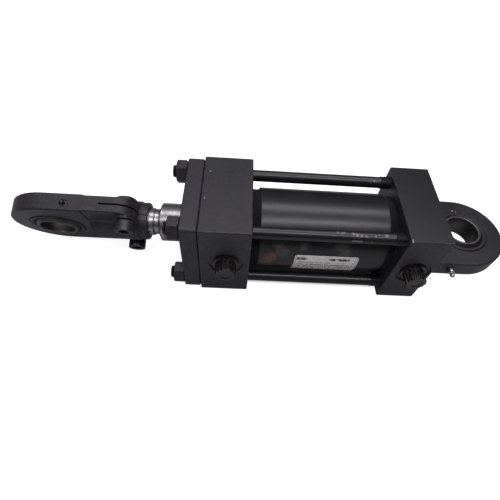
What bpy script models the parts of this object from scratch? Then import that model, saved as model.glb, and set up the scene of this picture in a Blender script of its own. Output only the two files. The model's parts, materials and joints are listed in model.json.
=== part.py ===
"""A compact tie-rod cylinder with a clamped rod eye and a cap eye, both with spherical bearings.

Metres, +Z up. X runs along the rod towards the cap, and the ports face -Y. The origin is under the
middle of the rod-end head, on the plane that the two square blocks lie on. The rod is drawn in.
"""

import math

import bmesh
import bpy

MM = 0.001

# Clearances
SEAT_GAP = 0.3 * MM
ROD_GAP = 0.3 * MM
PISTON_GAP = 0.35 * MM
BALL_GAP = 0.35 * MM

# Stroke, bore and tube
STROKE = 90 * MM
PISTON_END_GAP = 1.25 * MM
BORE_RADIUS = 31.5 * MM
TUBE_WALL = 6 * MM
TUBE_NECK_STEP = 2 * MM
TUBE_NECK_LENGTH = 6 * MM
TUBE_SEAT_DEPTH = 8 * MM

# Tie rods and their nuts
TIE_ROD_THREAD_RADIUS = 6 * MM
TIE_ROD_SHANK_RADIUS = 5.35 * MM
TIE_ROD_CLEARANCE = 4.583 * MM
TIE_ROD_COVER = 11 * MM
TIE_ROD_THREAD_LENGTH = 34 * MM
TIE_ROD_STUD = 13.7 * MM
TIE_ROD_SEAT_DEPTH = 25 * MM
TIE_ROD_END_ROOM = 2.5 * MM
NUT_ACROSS_FLATS = 19 * MM
NUT_HEIGHT = 10 * MM

# Rod and gland
ROD_RADIUS = 18 * MM
ROD_OUT_AT_REST = 22.5 * MM
ROD_CONE_LENGTH = 3 * MM
ROD_UNDERCUT_LENGTH = 3 * MM
ROD_UNDERCUT_DEPTH = 1.5 * MM
ROD_THREAD_RADIUS = 13.5 * MM
ROD_FREE_THREAD = 6 * MM
ROD_SCREWED_LENGTH = 34.5 * MM
ROD_STUD_RADIUS = 12 * MM
ROD_STUD_PAST_NUT = 1 * MM
GLAND_NOSE_WALL = 2 * MM
GLAND_NOSE_PROUD = 1.5 * MM
GLAND_BODY_STEP = 1.7 * MM
GLAND_FLANGE_STEP = 3.6 * MM
GLAND_FLANGE_THICKNESS = 4.7 * MM
GLAND_SEAT_DEPTH = 11.5 * MM
GLAND_SHOULDER = 2.7 * MM
SEAL_GROOVE_DEPTH = 3.7 * MM
WIPER_LIP = 1.3 * MM
WIPER_GROOVE_WIDTH = 5 * MM
SEAL_GROOVE_WIDTH = 8 * MM
SEAL_GROOVE_SPACING = 4.2 * MM
SEAL_NOTCH = 3 * MM

# O-rings
O_RING_SECTION = 1.25 * MM
O_RING_GROOVE_ROOM = 0.35 * MM
O_RING_POINTS = 6

# Piston and its rings
PISTON_LENGTH = 38 * MM
PISTON_SEAL_WIDTH = 7 * MM
PISTON_SEAL_DEPTH = 5 * MM
WEAR_RING_WIDTH = 6 * MM
WEAR_RING_DEPTH = 2.4 * MM
WEAR_RING_FROM_END = 4.5 * MM
PISTON_NUT_ACROSS_FLATS = 32 * MM
PISTON_NUT_HEIGHT = 12 * MM

# Square blocks and the retainer plate
BLOCK_EDGE = 1.3 * MM
RETAINER_THICKNESS = 15.2 * MM
RETAINER_SETBACK = 1 * MM
RETAINER_CORNER = 4 * MM
RETAINER_EDGE = 0.9 * MM
HEAD_PORT_FRONT_WALL = 1.75 * MM
HEAD_PORT_REAR_WALL = 2.75 * MM
CAP_PORT_FRONT_WALL = 1 * MM
CAP_REAR_WALL = 7 * MM
CAP_CHAMBER_ROOM = 1.5 * MM
CAP_CHAMBER_PAST_PORT = 5.5 * MM

# Ports and their plugs
PORT_RADIUS = 10.5 * MM
PORT_CHAMFER = 1.5 * MM
SPOT_FACE_MARGIN = 5 * MM
SPOT_FACE_DEPTH = 1.5 * MM
PLUG_STEM_LENGTH = 9 * MM
PLUG_FLANGE_THICKNESS = 1.6 * MM
PLUG_GRIP_RADIUS = 9.6 * MM
PLUG_GRIP_TAPER = 0.8 * MM
PLUG_GRIP_LENGTH = 11.6 * MM
PLUG_FLUTES = 14
PLUG_FLUTE_DEPTH = 0.7 * MM
PLUG_DISH_RADIUS = 6 * MM
PLUG_DISH_DEPTH = 0.8 * MM

# Spherical bearings
BALL_RADIUS = 20.35 * MM
BALL_FACE_WALL = 2.1208 * MM
BALL_WIDTH = 22 * MM
BEARING_WALL = 3.15 * MM
BEARING_WIDTH = 18 * MM
BEARING_CHAMFER = 0.6 * MM
BEARING_LIP_CHAMFER = 1.4 * MM
BEARING_GROOVE_WIDTH = 3 * MM
BEARING_GROOVE_DEPTH = 0.6 * MM
HOUSING_CHAMFER = 0.6 * MM

# Cap eye
CAP_EYE_ROOM = 13.7 * MM
CAP_EYE_WALL = 15.7 * MM
CAP_EYE_THICKNESS = 17 * MM
CAP_EYE_EDGE = 1.5 * MM
CAP_EYE_FILLET = 7 * MM
CAP_EYE_FLARE = 4 * MM

# Rod eye
ROD_EYE_TURN = math.radians(110)
ROD_EYE_WALL = 15.2 * MM
ROD_EYE_THICKNESS = 16.4 * MM
ROD_EYE_EDGE = 2 * MM
ROD_EYE_STEP = 0.6 * MM
ROD_EYE_STEP_ROOM = 9.7 * MM
HUB_LENGTH = 51.5 * MM
HUB_WALL = 4.5 * MM
HUB_FILLET = 5 * MM
HUB_NOSE_LENGTH = 8 * MM
HUB_NOSE_START = 2.2 * MM
COLLAR_LENGTH = 8 * MM
COLLAR_STEP = 0.8 * MM
LUG_CORNER = 15 * MM
SLIT_WIDTH = 1.6 * MM
SLIT_LENGTH = 37 * MM
THREAD_BORE_ROOM = 2 * MM

# Clamp screws
CLAMP_SCREW_RADIUS = 5 * MM
CLAMP_SCREW_WALL = 6 * MM
CLAMP_SCREW_FROM_END = 16.5 * MM
CLAMP_HEAD_RADIUS = 8 * MM
CLAMP_HEAD_HEIGHT = 10 * MM
CLAMP_SEAT_HEIGHT = 10 * MM
CLAMP_SEAT_MARGIN = 2.3 * MM
CLAMP_SPOT_MARGIN = 0.5 * MM
CLAMP_SOCKET_ACROSS_FLATS = 8 * MM
CLAMP_SOCKET_DEPTH = 5 * MM
CLAMP_SCREW_SHORT = 0.6 * MM

# Grease nipples
NIPPLE_RECESS_RADIUS = 3.4 * MM
NIPPLE_RECESS_DEPTH = 2.6 * MM
NIPPLE_BASE_RADIUS = 2.9 * MM
NIPPLE_BASE_HEIGHT = 1.6 * MM
NIPPLE_NECK_RADIUS = 1.5 * MM
NIPPLE_NECK_HEIGHT = 1.1 * MM
NIPPLE_BALL_RADIUS = 2.1 * MM
NIPPLE_STEM_RADIUS = 1.2 * MM
NIPPLE_STEM_LENGTH = 3 * MM
NIPPLE_TIP_ANGLE = 15
CAP_NIPPLE_INSET = 5.3 * MM
ROD_NIPPLE_INSET = 5.1 * MM
ROD_NIPPLE_OFFSET = 1 * MM

# Label around the tube's front
LABEL_START = 40.5 * MM
LABEL_LENGTH = 58.5 * MM
LABEL_THICKNESS = 0.5 * MM
LABEL_TOP = math.radians(12.4)
LABEL_BOTTOM = math.radians(-38)

# Facets
LARGE_SIDES = 36
MIDDLE_SIDES = 24
SMALL_SIDES = 20
TINY_SIDES = 12
ARC_STEPS = 5

# Radii and places that follow from the sizes above
TUBE_RADIUS = BORE_RADIUS + TUBE_WALL
TUBE_NECK_RADIUS = TUBE_RADIUS - TUBE_NECK_STEP
SPIGOT_RADIUS = BORE_RADIUS - SEAT_GAP
TUBE_SEAT_RADIUS = TUBE_NECK_RADIUS + SEAT_GAP
TIE_ROD_HOLE_RADIUS = TIE_ROD_THREAD_RADIUS + SEAT_GAP
TIE_ROD_OFFSET = (TUBE_RADIUS + TIE_ROD_CLEARANCE + TIE_ROD_THREAD_RADIUS) / math.sqrt(2)
BLOCK_HALF = TIE_ROD_OFFSET + TIE_ROD_COVER
RETAINER_HALF = BLOCK_HALF - RETAINER_SETBACK
AXIS_HEIGHT = BLOCK_HALF
HEAD_PORT_DEPTH = GLAND_SEAT_DEPTH + HEAD_PORT_FRONT_WALL + PORT_RADIUS
HEAD_LENGTH = HEAD_PORT_DEPTH + PORT_RADIUS + HEAD_PORT_REAR_WALL + TUBE_SEAT_DEPTH
CAP_PORT_DEPTH = TUBE_SEAT_DEPTH + CAP_PORT_FRONT_WALL + PORT_RADIUS
CAP_LENGTH = CAP_PORT_DEPTH + PORT_RADIUS + CAP_REAR_WALL
HEAD_FRONT = -HEAD_LENGTH / 2
HEAD_REAR = HEAD_LENGTH / 2
HEAD_PORT_X = HEAD_FRONT + HEAD_PORT_DEPTH
CAP_FRONT = HEAD_REAR + STROKE + PISTON_LENGTH + 2 * PISTON_END_GAP
CAP_REAR = CAP_FRONT + CAP_LENGTH
CAP_PORT_X = CAP_FRONT + CAP_PORT_DEPTH
BALL_BORE_RADIUS = math.sqrt(BALL_RADIUS**2 - (BALL_WIDTH / 2) ** 2) - BALL_FACE_WALL
BEARING_RADIUS = BALL_RADIUS + BEARING_WALL
HOUSING_RADIUS = BEARING_RADIUS + SEAT_GAP
CAP_EYE_REACH = HOUSING_RADIUS + CAP_EYE_ROOM
CAP_EYE_X = CAP_REAR + CAP_EYE_REACH
CAP_NIPPLE_BACK = HOUSING_RADIUS - CAP_NIPPLE_INSET
ROD_EYE_STEP_AT = HOUSING_RADIUS + ROD_EYE_STEP_ROOM
ROD_EYE_TO_HUB_END = ROD_EYE_STEP_AT + HUB_LENGTH
ROD_NIPPLE_BACK = HOUSING_RADIUS - ROD_NIPPLE_INSET
RETAINER_REAR = HEAD_FRONT - SEAT_GAP
RETAINER_FRONT = RETAINER_REAR - RETAINER_THICKNESS
GLAND_BORE_RADIUS = ROD_RADIUS + ROD_GAP
SEAL_GROOVE_RADIUS = GLAND_BORE_RADIUS + SEAL_GROOVE_DEPTH
GLAND_NOSE_RADIUS = SEAL_GROOVE_RADIUS + GLAND_NOSE_WALL
GLAND_BODY_RADIUS = GLAND_NOSE_RADIUS + GLAND_BODY_STEP
GLAND_FLANGE_RADIUS = GLAND_BODY_RADIUS + GLAND_FLANGE_STEP
HEAD_CHAMBER_RADIUS = GLAND_BODY_RADIUS - GLAND_SHOULDER
GLAND_FRONT = RETAINER_FRONT - GLAND_NOSE_PROUD
GLAND_FLANGE_REAR = HEAD_FRONT + GLAND_FLANGE_THICKNESS
GLAND_REAR = HEAD_FRONT + GLAND_SEAT_DEPTH - SEAT_GAP
WIPER_FRONT = GLAND_FRONT + WIPER_LIP
WIPER_REAR = WIPER_FRONT + WIPER_GROOVE_WIDTH
SEAL_FRONT = WIPER_REAR + SEAL_GROOVE_SPACING
SEAL_REAR = SEAL_FRONT + SEAL_GROOVE_WIDTH
O_RING_GROOVE_HALF = O_RING_SECTION + O_RING_GROOVE_ROOM
O_RING_GROOVE_DEPTH = 2 * O_RING_SECTION + SEAT_GAP
GLAND_O_RING_X = (GLAND_FLANGE_REAR + GLAND_REAR) / 2
HEAD_O_RING_X = HEAD_REAR - TUBE_SEAT_DEPTH / 2
CAP_O_RING_X = CAP_FRONT + TUBE_SEAT_DEPTH / 2
PISTON_REAR = CAP_FRONT - PISTON_END_GAP
PISTON_FRONT = PISTON_REAR - PISTON_LENGTH
PISTON_RADIUS = BORE_RADIUS - PISTON_GAP
PISTON_MIDDLE = (PISTON_FRONT + PISTON_REAR) / 2
PISTON_NUT_FRONT = PISTON_REAR + SEAT_GAP
ROD_REAR = PISTON_NUT_FRONT + PISTON_NUT_HEIGHT + ROD_STUD_PAST_NUT
ROD_SHOULDER = PISTON_FRONT - SEAT_GAP
ROD_CONE_REAR = RETAINER_FRONT - ROD_OUT_AT_REST
ROD_CONE_FRONT = ROD_CONE_REAR - ROD_CONE_LENGTH
ROD_THREAD_REAR = ROD_CONE_FRONT - ROD_UNDERCUT_LENGTH
HUB_END_X = ROD_THREAD_REAR - ROD_FREE_THREAD
ROD_EYE_X = HUB_END_X - ROD_EYE_TO_HUB_END
CAP_EYE_RADIUS = HOUSING_RADIUS + CAP_EYE_WALL
ROD_EYE_RADIUS = HOUSING_RADIUS + ROD_EYE_WALL
PORT_MOUTH_RADIUS = PORT_RADIUS + PORT_CHAMFER
SPOT_FACE_RADIUS = PORT_RADIUS + SPOT_FACE_MARGIN
SPOT_FACE_Y = -BLOCK_HALF + SPOT_FACE_DEPTH
THREAD_BORE_RADIUS = ROD_THREAD_RADIUS + SEAT_GAP
HUB_RADIUS = THREAD_BORE_RADIUS + HUB_WALL
COLLAR_RADIUS = HUB_RADIUS - COLLAR_STEP
LUG_END = ROD_EYE_TO_HUB_END - COLLAR_LENGTH
CLAMP_HOLE_RADIUS = CLAMP_SCREW_RADIUS + SEAT_GAP
CLAMP_SCREW_OFFSET = THREAD_BORE_RADIUS + CLAMP_SCREW_WALL + CLAMP_HOLE_RADIUS
CLAMP_SCREW_X = ROD_EYE_TO_HUB_END - CLAMP_SCREW_FROM_END
CLAMP_SEAT_RADIUS = CLAMP_HEAD_RADIUS + CLAMP_SEAT_MARGIN
CLAMP_SPOT_RADIUS = CLAMP_SEAT_RADIUS + CLAMP_SPOT_MARGIN
THREAD_BORE_START = ROD_EYE_TO_HUB_END - ROD_SCREWED_LENGTH - THREAD_BORE_ROOM
OVERCUT = 1 * MM


def clear_scene():
    for thing in list(bpy.data.objects):
        bpy.data.objects.remove(thing, do_unlink=True)


def make_material(name, colour, metallic, roughness):
    material = bpy.data.materials.new(name)
    material.use_nodes = True
    shader = material.node_tree.nodes["Principled BSDF"]
    shader.inputs["Base Color"].default_value = (*colour, 1)
    shader.inputs["Metallic"].default_value = metallic
    shader.inputs["Roughness"].default_value = roughness
    return material


def empty(name, parent=None, location=(0, 0, 0), turn=0.0):
    """An empty on a joint's axis, which carries the pieces that move about it."""
    marker = bpy.data.objects.new(name, None)
    marker.empty_display_size = 10 * MM
    marker.parent = parent
    marker.location = location
    marker.rotation_euler = (turn, 0, 0)
    bpy.context.scene.collection.objects.link(marker)
    return marker


def add_piece(name, build, material, parent, location=(0, 0, 0)):
    """Turns a bmesh into a named object, smooth apart from its real edges."""
    bmesh.ops.recalc_face_normals(build, faces=build.faces)
    mesh = bpy.data.meshes.new(name)
    build.to_mesh(mesh)
    build.free()
    mesh.shade_smooth()
    mesh.set_sharp_from_angle(angle=math.radians(30))
    piece = bpy.data.objects.new(name, mesh)
    if material:
        mesh.materials.append(material)
    piece.parent = parent
    piece.location = location
    bpy.context.scene.collection.objects.link(piece)
    return piece


def shape(target, name, build, operation):
    """Cuts the build from its target, adds it, or keeps what both have."""
    helper = add_piece(name, build, None, target)
    helper.hide_render = True
    helper.display_type = "WIRE"
    modifier = target.modifiers.new(name, "BOOLEAN")
    modifier.operation = operation
    modifier.solver = "EXACT"
    modifier.object = helper


def cut(target, name, build):
    shape(target, name, build, "DIFFERENCE")


def join(target, name, build):
    shape(target, name, build, "UNION")


def keep_common(target, name, build):
    shape(target, name, build, "INTERSECT")


def round_edges(piece, width, segments=2):
    bevel = piece.modifiers.new("edges", "BEVEL")
    bevel.width = width
    bevel.segments = segments
    bevel.limit_method = "ANGLE"
    bevel.angle_limit = math.radians(40)


def place(axis, along, across, up):
    """A point given along a main axis and on the two axes that follow it."""
    if axis == "X":
        return (along, across, up)
    if axis == "Y":
        return (up, along, across)
    return (across, up, along)


def ring(axis, along, radius, sides, centre=(0.0, 0.0)):
    points = []
    for step in range(sides):
        turn = 2 * math.pi * step / sides
        across = centre[0] + radius * math.cos(turn)
        up = centre[1] + radius * math.sin(turn)
        points.append(place(axis, along, across, up))
    return points


def arc(centre, radius, start, end, steps=ARC_STEPS):
    """Points on an arc about a centre, angles in degrees."""
    points = []
    for step in range(steps + 1):
        angle = math.radians(start + (end - start) * step / steps)
        points.append((centre[0] + radius * math.cos(angle), centre[1] + radius * math.sin(angle)))
    return points


def mirrored(points):
    """The points, then their mirror images below the first axis, as one closed outline."""
    return points + [(x, -y) for x, y in reversed(points)]


def add_loft(build, rings, looped=False):
    """A closed skin through rings of equal length, capped at its ends or joined end to start."""
    loops = [[build.verts.new(point) for point in points] for points in rings]
    pairs = list(zip(loops, loops[1:]))
    if looped:
        pairs.append((loops[-1], loops[0]))
    else:
        build.faces.new(loops[0])
        build.faces.new(loops[-1])
    for first, second in pairs:
        for here in range(len(first)):
            after = (here + 1) % len(first)
            build.faces.new((first[here], first[after], second[after], second[here]))


def lofted(rings, looped=False):
    build = bmesh.new()
    add_loft(build, rings, looped)
    return build


def turned(axis, profile, sides, bored=False, centre=(0.0, 0.0)):
    """A turned piece from (along, radius) points. A bored one has a closed profile off the axis."""
    return lofted([ring(axis, along, radius, sides, centre) for along, radius in profile], bored)


def extruded(axis, outline, low, high):
    """A prism along a main axis, from an outline on the two axes that follow it."""
    return lofted([[place(axis, level, *point) for point in outline] for level in (low, high)])


def box(low, high):
    outline = [(low[1], low[2]), (high[1], low[2]), (high[1], high[2]), (low[1], high[2])]
    return extruded("X", outline, low[0], high[0])


def rounded_square(half, corner):
    outline = []
    for quarter in range(4):
        middle = math.radians(90 * quarter + 45)
        centre = (
            math.copysign(half - corner, math.cos(middle)),
            math.copysign(half - corner, math.sin(middle)),
        )
        outline += arc(centre, corner, 90 * quarter, 90 * quarter + 90, 4)
    return outline


def tie_rod_places():
    """Name and (across, up) of each tie rod, seen from the side of the ports."""
    offset = TIE_ROD_OFFSET
    return [
        ("top_front", (-offset, offset)),
        ("top_back", (offset, offset)),
        ("bottom_front", (-offset, -offset)),
        ("bottom_back", (offset, -offset)),
    ]


def tie_rod_holes(low, high):
    build = bmesh.new()
    for _, centre in tie_rod_places():
        add_loft(build, [ring("X", x, TIE_ROD_HOLE_RADIUS, SMALL_SIDES, centre) for x in (low, high)])
    return build


def port_bore(x):
    """Spot face and chamfered port, cut from the front face into the chamber."""
    mouth = -BLOCK_HALF - OVERCUT
    profile = [
        (mouth, SPOT_FACE_RADIUS),
        (SPOT_FACE_Y, SPOT_FACE_RADIUS),
        (SPOT_FACE_Y, PORT_MOUTH_RADIUS),
        (SPOT_FACE_Y + PORT_CHAMFER, PORT_RADIUS),
        (-HEAD_CHAMBER_RADIUS / 2, PORT_RADIUS),
    ]
    return turned("Y", profile, MIDDLE_SIDES, centre=(0.0, x))


def tube_seat(face, inwards):
    """Ring groove that the tube's end enters, with the O-ring's groove in the spigot inside it."""
    bottom = face + inwards * TUBE_SEAT_DEPTH
    middle = face + inwards * TUBE_SEAT_DEPTH / 2
    mouth = face - inwards * OVERCUT
    floor = SPIGOT_RADIUS - O_RING_GROOVE_DEPTH
    profile = [
        (mouth, SPIGOT_RADIUS),
        (middle - inwards * O_RING_GROOVE_HALF, SPIGOT_RADIUS),
        (middle - inwards * O_RING_GROOVE_HALF, floor),
        (middle + inwards * O_RING_GROOVE_HALF, floor),
        (middle + inwards * O_RING_GROOVE_HALF, SPIGOT_RADIUS),
        (bottom, SPIGOT_RADIUS),
        (bottom, TUBE_SEAT_RADIUS),
        (mouth, TUBE_SEAT_RADIUS),
    ]
    return turned("X", profile, LARGE_SIDES, bored=True)


def make_head(paint, axis):
    half = BLOCK_HALF
    head = add_piece("rod_end_head", box((HEAD_FRONT, -half, -half), (HEAD_REAR, half, half)), paint, axis)
    round_edges(head, BLOCK_EDGE)
    flange_floor = GLAND_FLANGE_REAR + SEAT_GAP
    gland_floor = HEAD_FRONT + GLAND_SEAT_DEPTH
    bore = [
        (HEAD_FRONT - OVERCUT, GLAND_FLANGE_RADIUS + SEAT_GAP),
        (flange_floor, GLAND_FLANGE_RADIUS + SEAT_GAP),
        (flange_floor, GLAND_BODY_RADIUS + SEAT_GAP),
        (gland_floor, GLAND_BODY_RADIUS + SEAT_GAP),
        (gland_floor, HEAD_CHAMBER_RADIUS),
        (HEAD_REAR + OVERCUT, HEAD_CHAMBER_RADIUS),
    ]
    cut(head, "head_bore", turned("X", bore, LARGE_SIDES))
    cut(head, "head_tube_seat", tube_seat(HEAD_REAR, -1))
    cut(head, "head_tie_rod_holes", tie_rod_holes(HEAD_FRONT - OVERCUT, HEAD_REAR + OVERCUT))
    cut(head, "head_port", port_bore(HEAD_PORT_X))


def make_retainer(paint, axis):
    outline = rounded_square(RETAINER_HALF, RETAINER_CORNER)
    plate = add_piece("retainer_plate", extruded("X", outline, RETAINER_FRONT, RETAINER_REAR), paint, axis)
    round_edges(plate, RETAINER_EDGE, 1)
    low = RETAINER_FRONT - OVERCUT
    high = RETAINER_REAR + OVERCUT
    radius = GLAND_NOSE_RADIUS + SEAT_GAP
    cut(plate, "retainer_hole", turned("X", [(low, radius), (high, radius)], LARGE_SIDES))
    cut(plate, "retainer_tie_rod_holes", tie_rod_holes(low, high))


def make_gland(steel, axis):
    """Bush around the rod. Its flange is held in the head by the retainer plate."""
    groove_floor = GLAND_BODY_RADIUS - O_RING_GROOVE_DEPTH
    profile = [
        (GLAND_FRONT, GLAND_NOSE_RADIUS - GLAND_NOSE_WALL / 2),
        (GLAND_FRONT + GLAND_NOSE_WALL / 2, GLAND_NOSE_RADIUS),
        (HEAD_FRONT, GLAND_NOSE_RADIUS),
        (HEAD_FRONT, GLAND_FLANGE_RADIUS),
        (GLAND_FLANGE_REAR, GLAND_FLANGE_RADIUS),
        (GLAND_FLANGE_REAR, GLAND_BODY_RADIUS),
        (GLAND_O_RING_X - O_RING_GROOVE_HALF, GLAND_BODY_RADIUS),
        (GLAND_O_RING_X - O_RING_GROOVE_HALF, groove_floor),
        (GLAND_O_RING_X + O_RING_GROOVE_HALF, groove_floor),
        (GLAND_O_RING_X + O_RING_GROOVE_HALF, GLAND_BODY_RADIUS),
        (GLAND_REAR, GLAND_BODY_RADIUS),
        (GLAND_REAR, GLAND_BORE_RADIUS),
        (SEAL_REAR, GLAND_BORE_RADIUS),
        (SEAL_REAR, SEAL_GROOVE_RADIUS),
        (SEAL_FRONT, SEAL_GROOVE_RADIUS),
        (SEAL_FRONT, GLAND_BORE_RADIUS),
        (WIPER_REAR, GLAND_BORE_RADIUS),
        (WIPER_REAR, SEAL_GROOVE_RADIUS),
        (WIPER_FRONT, SEAL_GROOVE_RADIUS),
        (WIPER_FRONT, GLAND_BORE_RADIUS + WIPER_LIP),
        (GLAND_FRONT, GLAND_BORE_RADIUS + WIPER_LIP),
    ]
    add_piece("gland_bush", turned("X", profile, MIDDLE_SIDES, bored=True), steel, axis)


def make_gland_seals(polymer, axis):
    """U-cup with its notch towards the pressure, and a wiper whose lip points outwards."""
    outer = SEAL_GROOVE_RADIUS - SEAT_GAP
    inner = GLAND_BORE_RADIUS
    middle = (outer + inner) / 2
    front = SEAL_FRONT + SEAT_GAP
    rear = SEAL_REAR - SEAT_GAP
    seal = [(front, inner), (front, outer), (rear, outer), (rear - SEAL_NOTCH, middle), (rear, inner)]
    add_piece("rod_seal", turned("X", seal, MIDDLE_SIDES, bored=True), polymer, axis)
    front = WIPER_FRONT + SEAT_GAP
    rear = WIPER_REAR - SEAT_GAP
    wiper = [(rear, inner), (rear, outer), (front, outer), (front, middle), (front - WIPER_LIP, inner)]
    add_piece("rod_wiper", turned("X", wiper, MIDDLE_SIDES, bored=True), polymer, axis)


def make_o_ring(name, x, radius, rubber, axis):
    """An O-ring whose outer side reaches the given radius."""
    half = 180 / O_RING_POINTS
    centre = (x, radius - O_RING_SECTION)
    section = arc(centre, O_RING_SECTION, half, 360 - half, O_RING_POINTS - 1)
    add_piece(name, turned("X", section, MIDDLE_SIDES, bored=True), rubber, axis)


def make_tube(paint, axis):
    front = HEAD_REAR - TUBE_SEAT_DEPTH + SEAT_GAP
    rear = CAP_FRONT + TUBE_SEAT_DEPTH - SEAT_GAP
    full_front = HEAD_REAR + TUBE_NECK_LENGTH
    full_rear = CAP_FRONT - TUBE_NECK_LENGTH
    profile = [
        (front, TUBE_NECK_RADIUS),
        (full_front, TUBE_NECK_RADIUS),
        (full_front + TUBE_NECK_STEP, TUBE_RADIUS),
        (full_rear - TUBE_NECK_STEP, TUBE_RADIUS),
        (full_rear, TUBE_NECK_RADIUS),
        (rear, TUBE_NECK_RADIUS),
        (rear, BORE_RADIUS),
        (front, BORE_RADIUS),
    ]
    add_piece("barrel_tube", turned("X", profile, LARGE_SIDES, bored=True), paint, axis)


def make_label(foil, axis):
    """Thin plate bent round the front of the tube, below the front tie rod."""
    low = HEAD_REAR + LABEL_START
    high = low + LABEL_LENGTH
    inner = TUBE_RADIUS + SEAT_GAP
    outer = inner + LABEL_THICKNESS
    steps = 2 * ARC_STEPS
    rings = []
    for step in range(steps + 1):
        angle = LABEL_TOP + (LABEL_BOTTOM - LABEL_TOP) * step / steps
        corners = [(low, inner), (high, inner), (high, outer), (low, outer)]
        rings.append([(x, -r * math.cos(angle), r * math.sin(angle)) for x, r in corners])
    add_piece("name_label", lofted(rings), foil, axis)


def make_tie_rods(paint, axis):
    """Threaded at both ends, screwed into the cap and pulled by a nut on the retainer plate."""
    front = RETAINER_FRONT - TIE_ROD_STUD
    rear = CAP_FRONT + TIE_ROD_SEAT_DEPTH
    step = TIE_ROD_THREAD_RADIUS - TIE_ROD_SHANK_RADIUS
    profile = [
        (front, TIE_ROD_SHANK_RADIUS),
        (front + step, TIE_ROD_THREAD_RADIUS),
        (front + TIE_ROD_THREAD_LENGTH, TIE_ROD_THREAD_RADIUS),
        (front + TIE_ROD_THREAD_LENGTH + step, TIE_ROD_SHANK_RADIUS),
        (CAP_FRONT + step, TIE_ROD_SHANK_RADIUS),
        (CAP_FRONT + 2 * step, TIE_ROD_THREAD_RADIUS),
        (rear - step, TIE_ROD_THREAD_RADIUS),
        (rear, TIE_ROD_SHANK_RADIUS),
    ]
    for name, (across, up) in tie_rod_places():
        rod = turned("X", profile, TINY_SIDES)
        add_piece("tie_rod_" + name, rod, paint, axis, (0, across, up))


def make_nut(name, across_flats, height, hole, sides, material, axis, location):
    """A hexagon nut along X with chamfered corners, and a bore with as many sides as its rod."""
    corner = across_flats / math.sqrt(3)
    chamfer = corner - across_flats / 2
    hexagon = lofted([ring("X", x, corner, 6) for x in (0.0, height)])
    nut = add_piece(name, hexagon, material, axis, location)
    crown = [
        (0.0, corner - chamfer),
        (chamfer, corner + chamfer),
        (height - chamfer, corner + chamfer),
        (height, corner - chamfer),
    ]
    keep_common(nut, name + "_crown", turned("X", crown, SMALL_SIDES))
    bore = [(-OVERCUT, hole), (height + OVERCUT, hole)]
    cut(nut, name + "_bore", turned("X", bore, sides))


def make_tie_rod_nuts(paint, axis):
    front = RETAINER_FRONT - SEAT_GAP - NUT_HEIGHT
    sizes = (NUT_ACROSS_FLATS, NUT_HEIGHT, TIE_ROD_HOLE_RADIUS, TINY_SIDES)
    for name, (across, up) in tie_rod_places():
        make_nut("tie_rod_nut_" + name, *sizes, paint, axis, (front, across, up))


def make_port_plug(name, x, plastic, axis):
    """A pressed-in transit plug: stem in the port, shoulder in its chamfer, fluted grip."""
    sides = 2 * PLUG_FLUTES
    stem = PORT_RADIUS - SEAT_GAP
    flange = PORT_MOUTH_RADIUS - SEAT_GAP
    grip_start = SPOT_FACE_Y - SEAT_GAP - PLUG_FLANGE_THICKNESS
    grip_end = grip_start - PLUG_GRIP_LENGTH
    edge = PLUG_FLUTE_DEPTH
    round_rings = [
        (SPOT_FACE_Y + PLUG_STEM_LENGTH, stem - edge),
        (SPOT_FACE_Y + PLUG_STEM_LENGTH - edge, stem),
        (SPOT_FACE_Y + PORT_CHAMFER, stem),
        (SPOT_FACE_Y, flange),
        (grip_start, flange),
    ]
    rings = [ring("Y", along, radius, sides) for along, radius in round_rings]
    for along, radius in ((grip_start, PLUG_GRIP_RADIUS), (grip_end, PLUG_GRIP_RADIUS - PLUG_GRIP_TAPER)):
        points = []
        for step in range(sides):
            turn = 2 * math.pi * step / sides
            reach = radius - PLUG_FLUTE_DEPTH * (step % 2)
            points.append(place("Y", along, reach * math.cos(turn), reach * math.sin(turn)))
        rings.append(points)
    rings.append(ring("Y", grip_end, PLUG_DISH_RADIUS, sides))
    rings.append(ring("Y", grip_end + PLUG_DISH_DEPTH, PLUG_DISH_RADIUS - PLUG_DISH_DEPTH, sides))
    add_piece(name, lofted(rings), plastic, axis, (x, 0, 0))


def rim_levels(half, edge, steps=3):
    """(level, inset) up through a plate whose two rim edges are rounded."""
    upper = []
    for step in range(steps + 1):
        turn = math.pi / 2 * step / steps
        upper.append((half - edge + edge * math.sin(turn), edge - edge * math.cos(turn)))
    return [(-level, inset) for level, inset in reversed(upper)] + upper


def housing_bore(thickness):
    """Seat of a bearing's outer ring, chamfered at both faces of the eye."""
    half = thickness / 2
    profile = [
        (-half - OVERCUT, HOUSING_RADIUS + HOUSING_CHAMFER + OVERCUT),
        (-half + HOUSING_CHAMFER, HOUSING_RADIUS),
        (half - HOUSING_CHAMFER, HOUSING_RADIUS),
        (half + OVERCUT, HOUSING_RADIUS + HOUSING_CHAMFER + OVERCUT),
    ]
    return turned("Z", profile, LARGE_SIDES)


def nipple_hole(side, inwards, where, up=0.0):
    """Recess and grease passage along Y, from the side of an eye into its bearing seat."""
    floor = side + inwards * NIPPLE_RECESS_DEPTH
    passage = NIPPLE_STEM_RADIUS + SEAT_GAP
    profile = [
        (side - inwards * OVERCUT, NIPPLE_RECESS_RADIUS),
        (floor, NIPPLE_RECESS_RADIUS),
        (floor, passage),
        (inwards * -HOUSING_RADIUS / 2, passage),
    ]
    return turned("Y", profile, TINY_SIDES, centre=(up, where))


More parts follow.
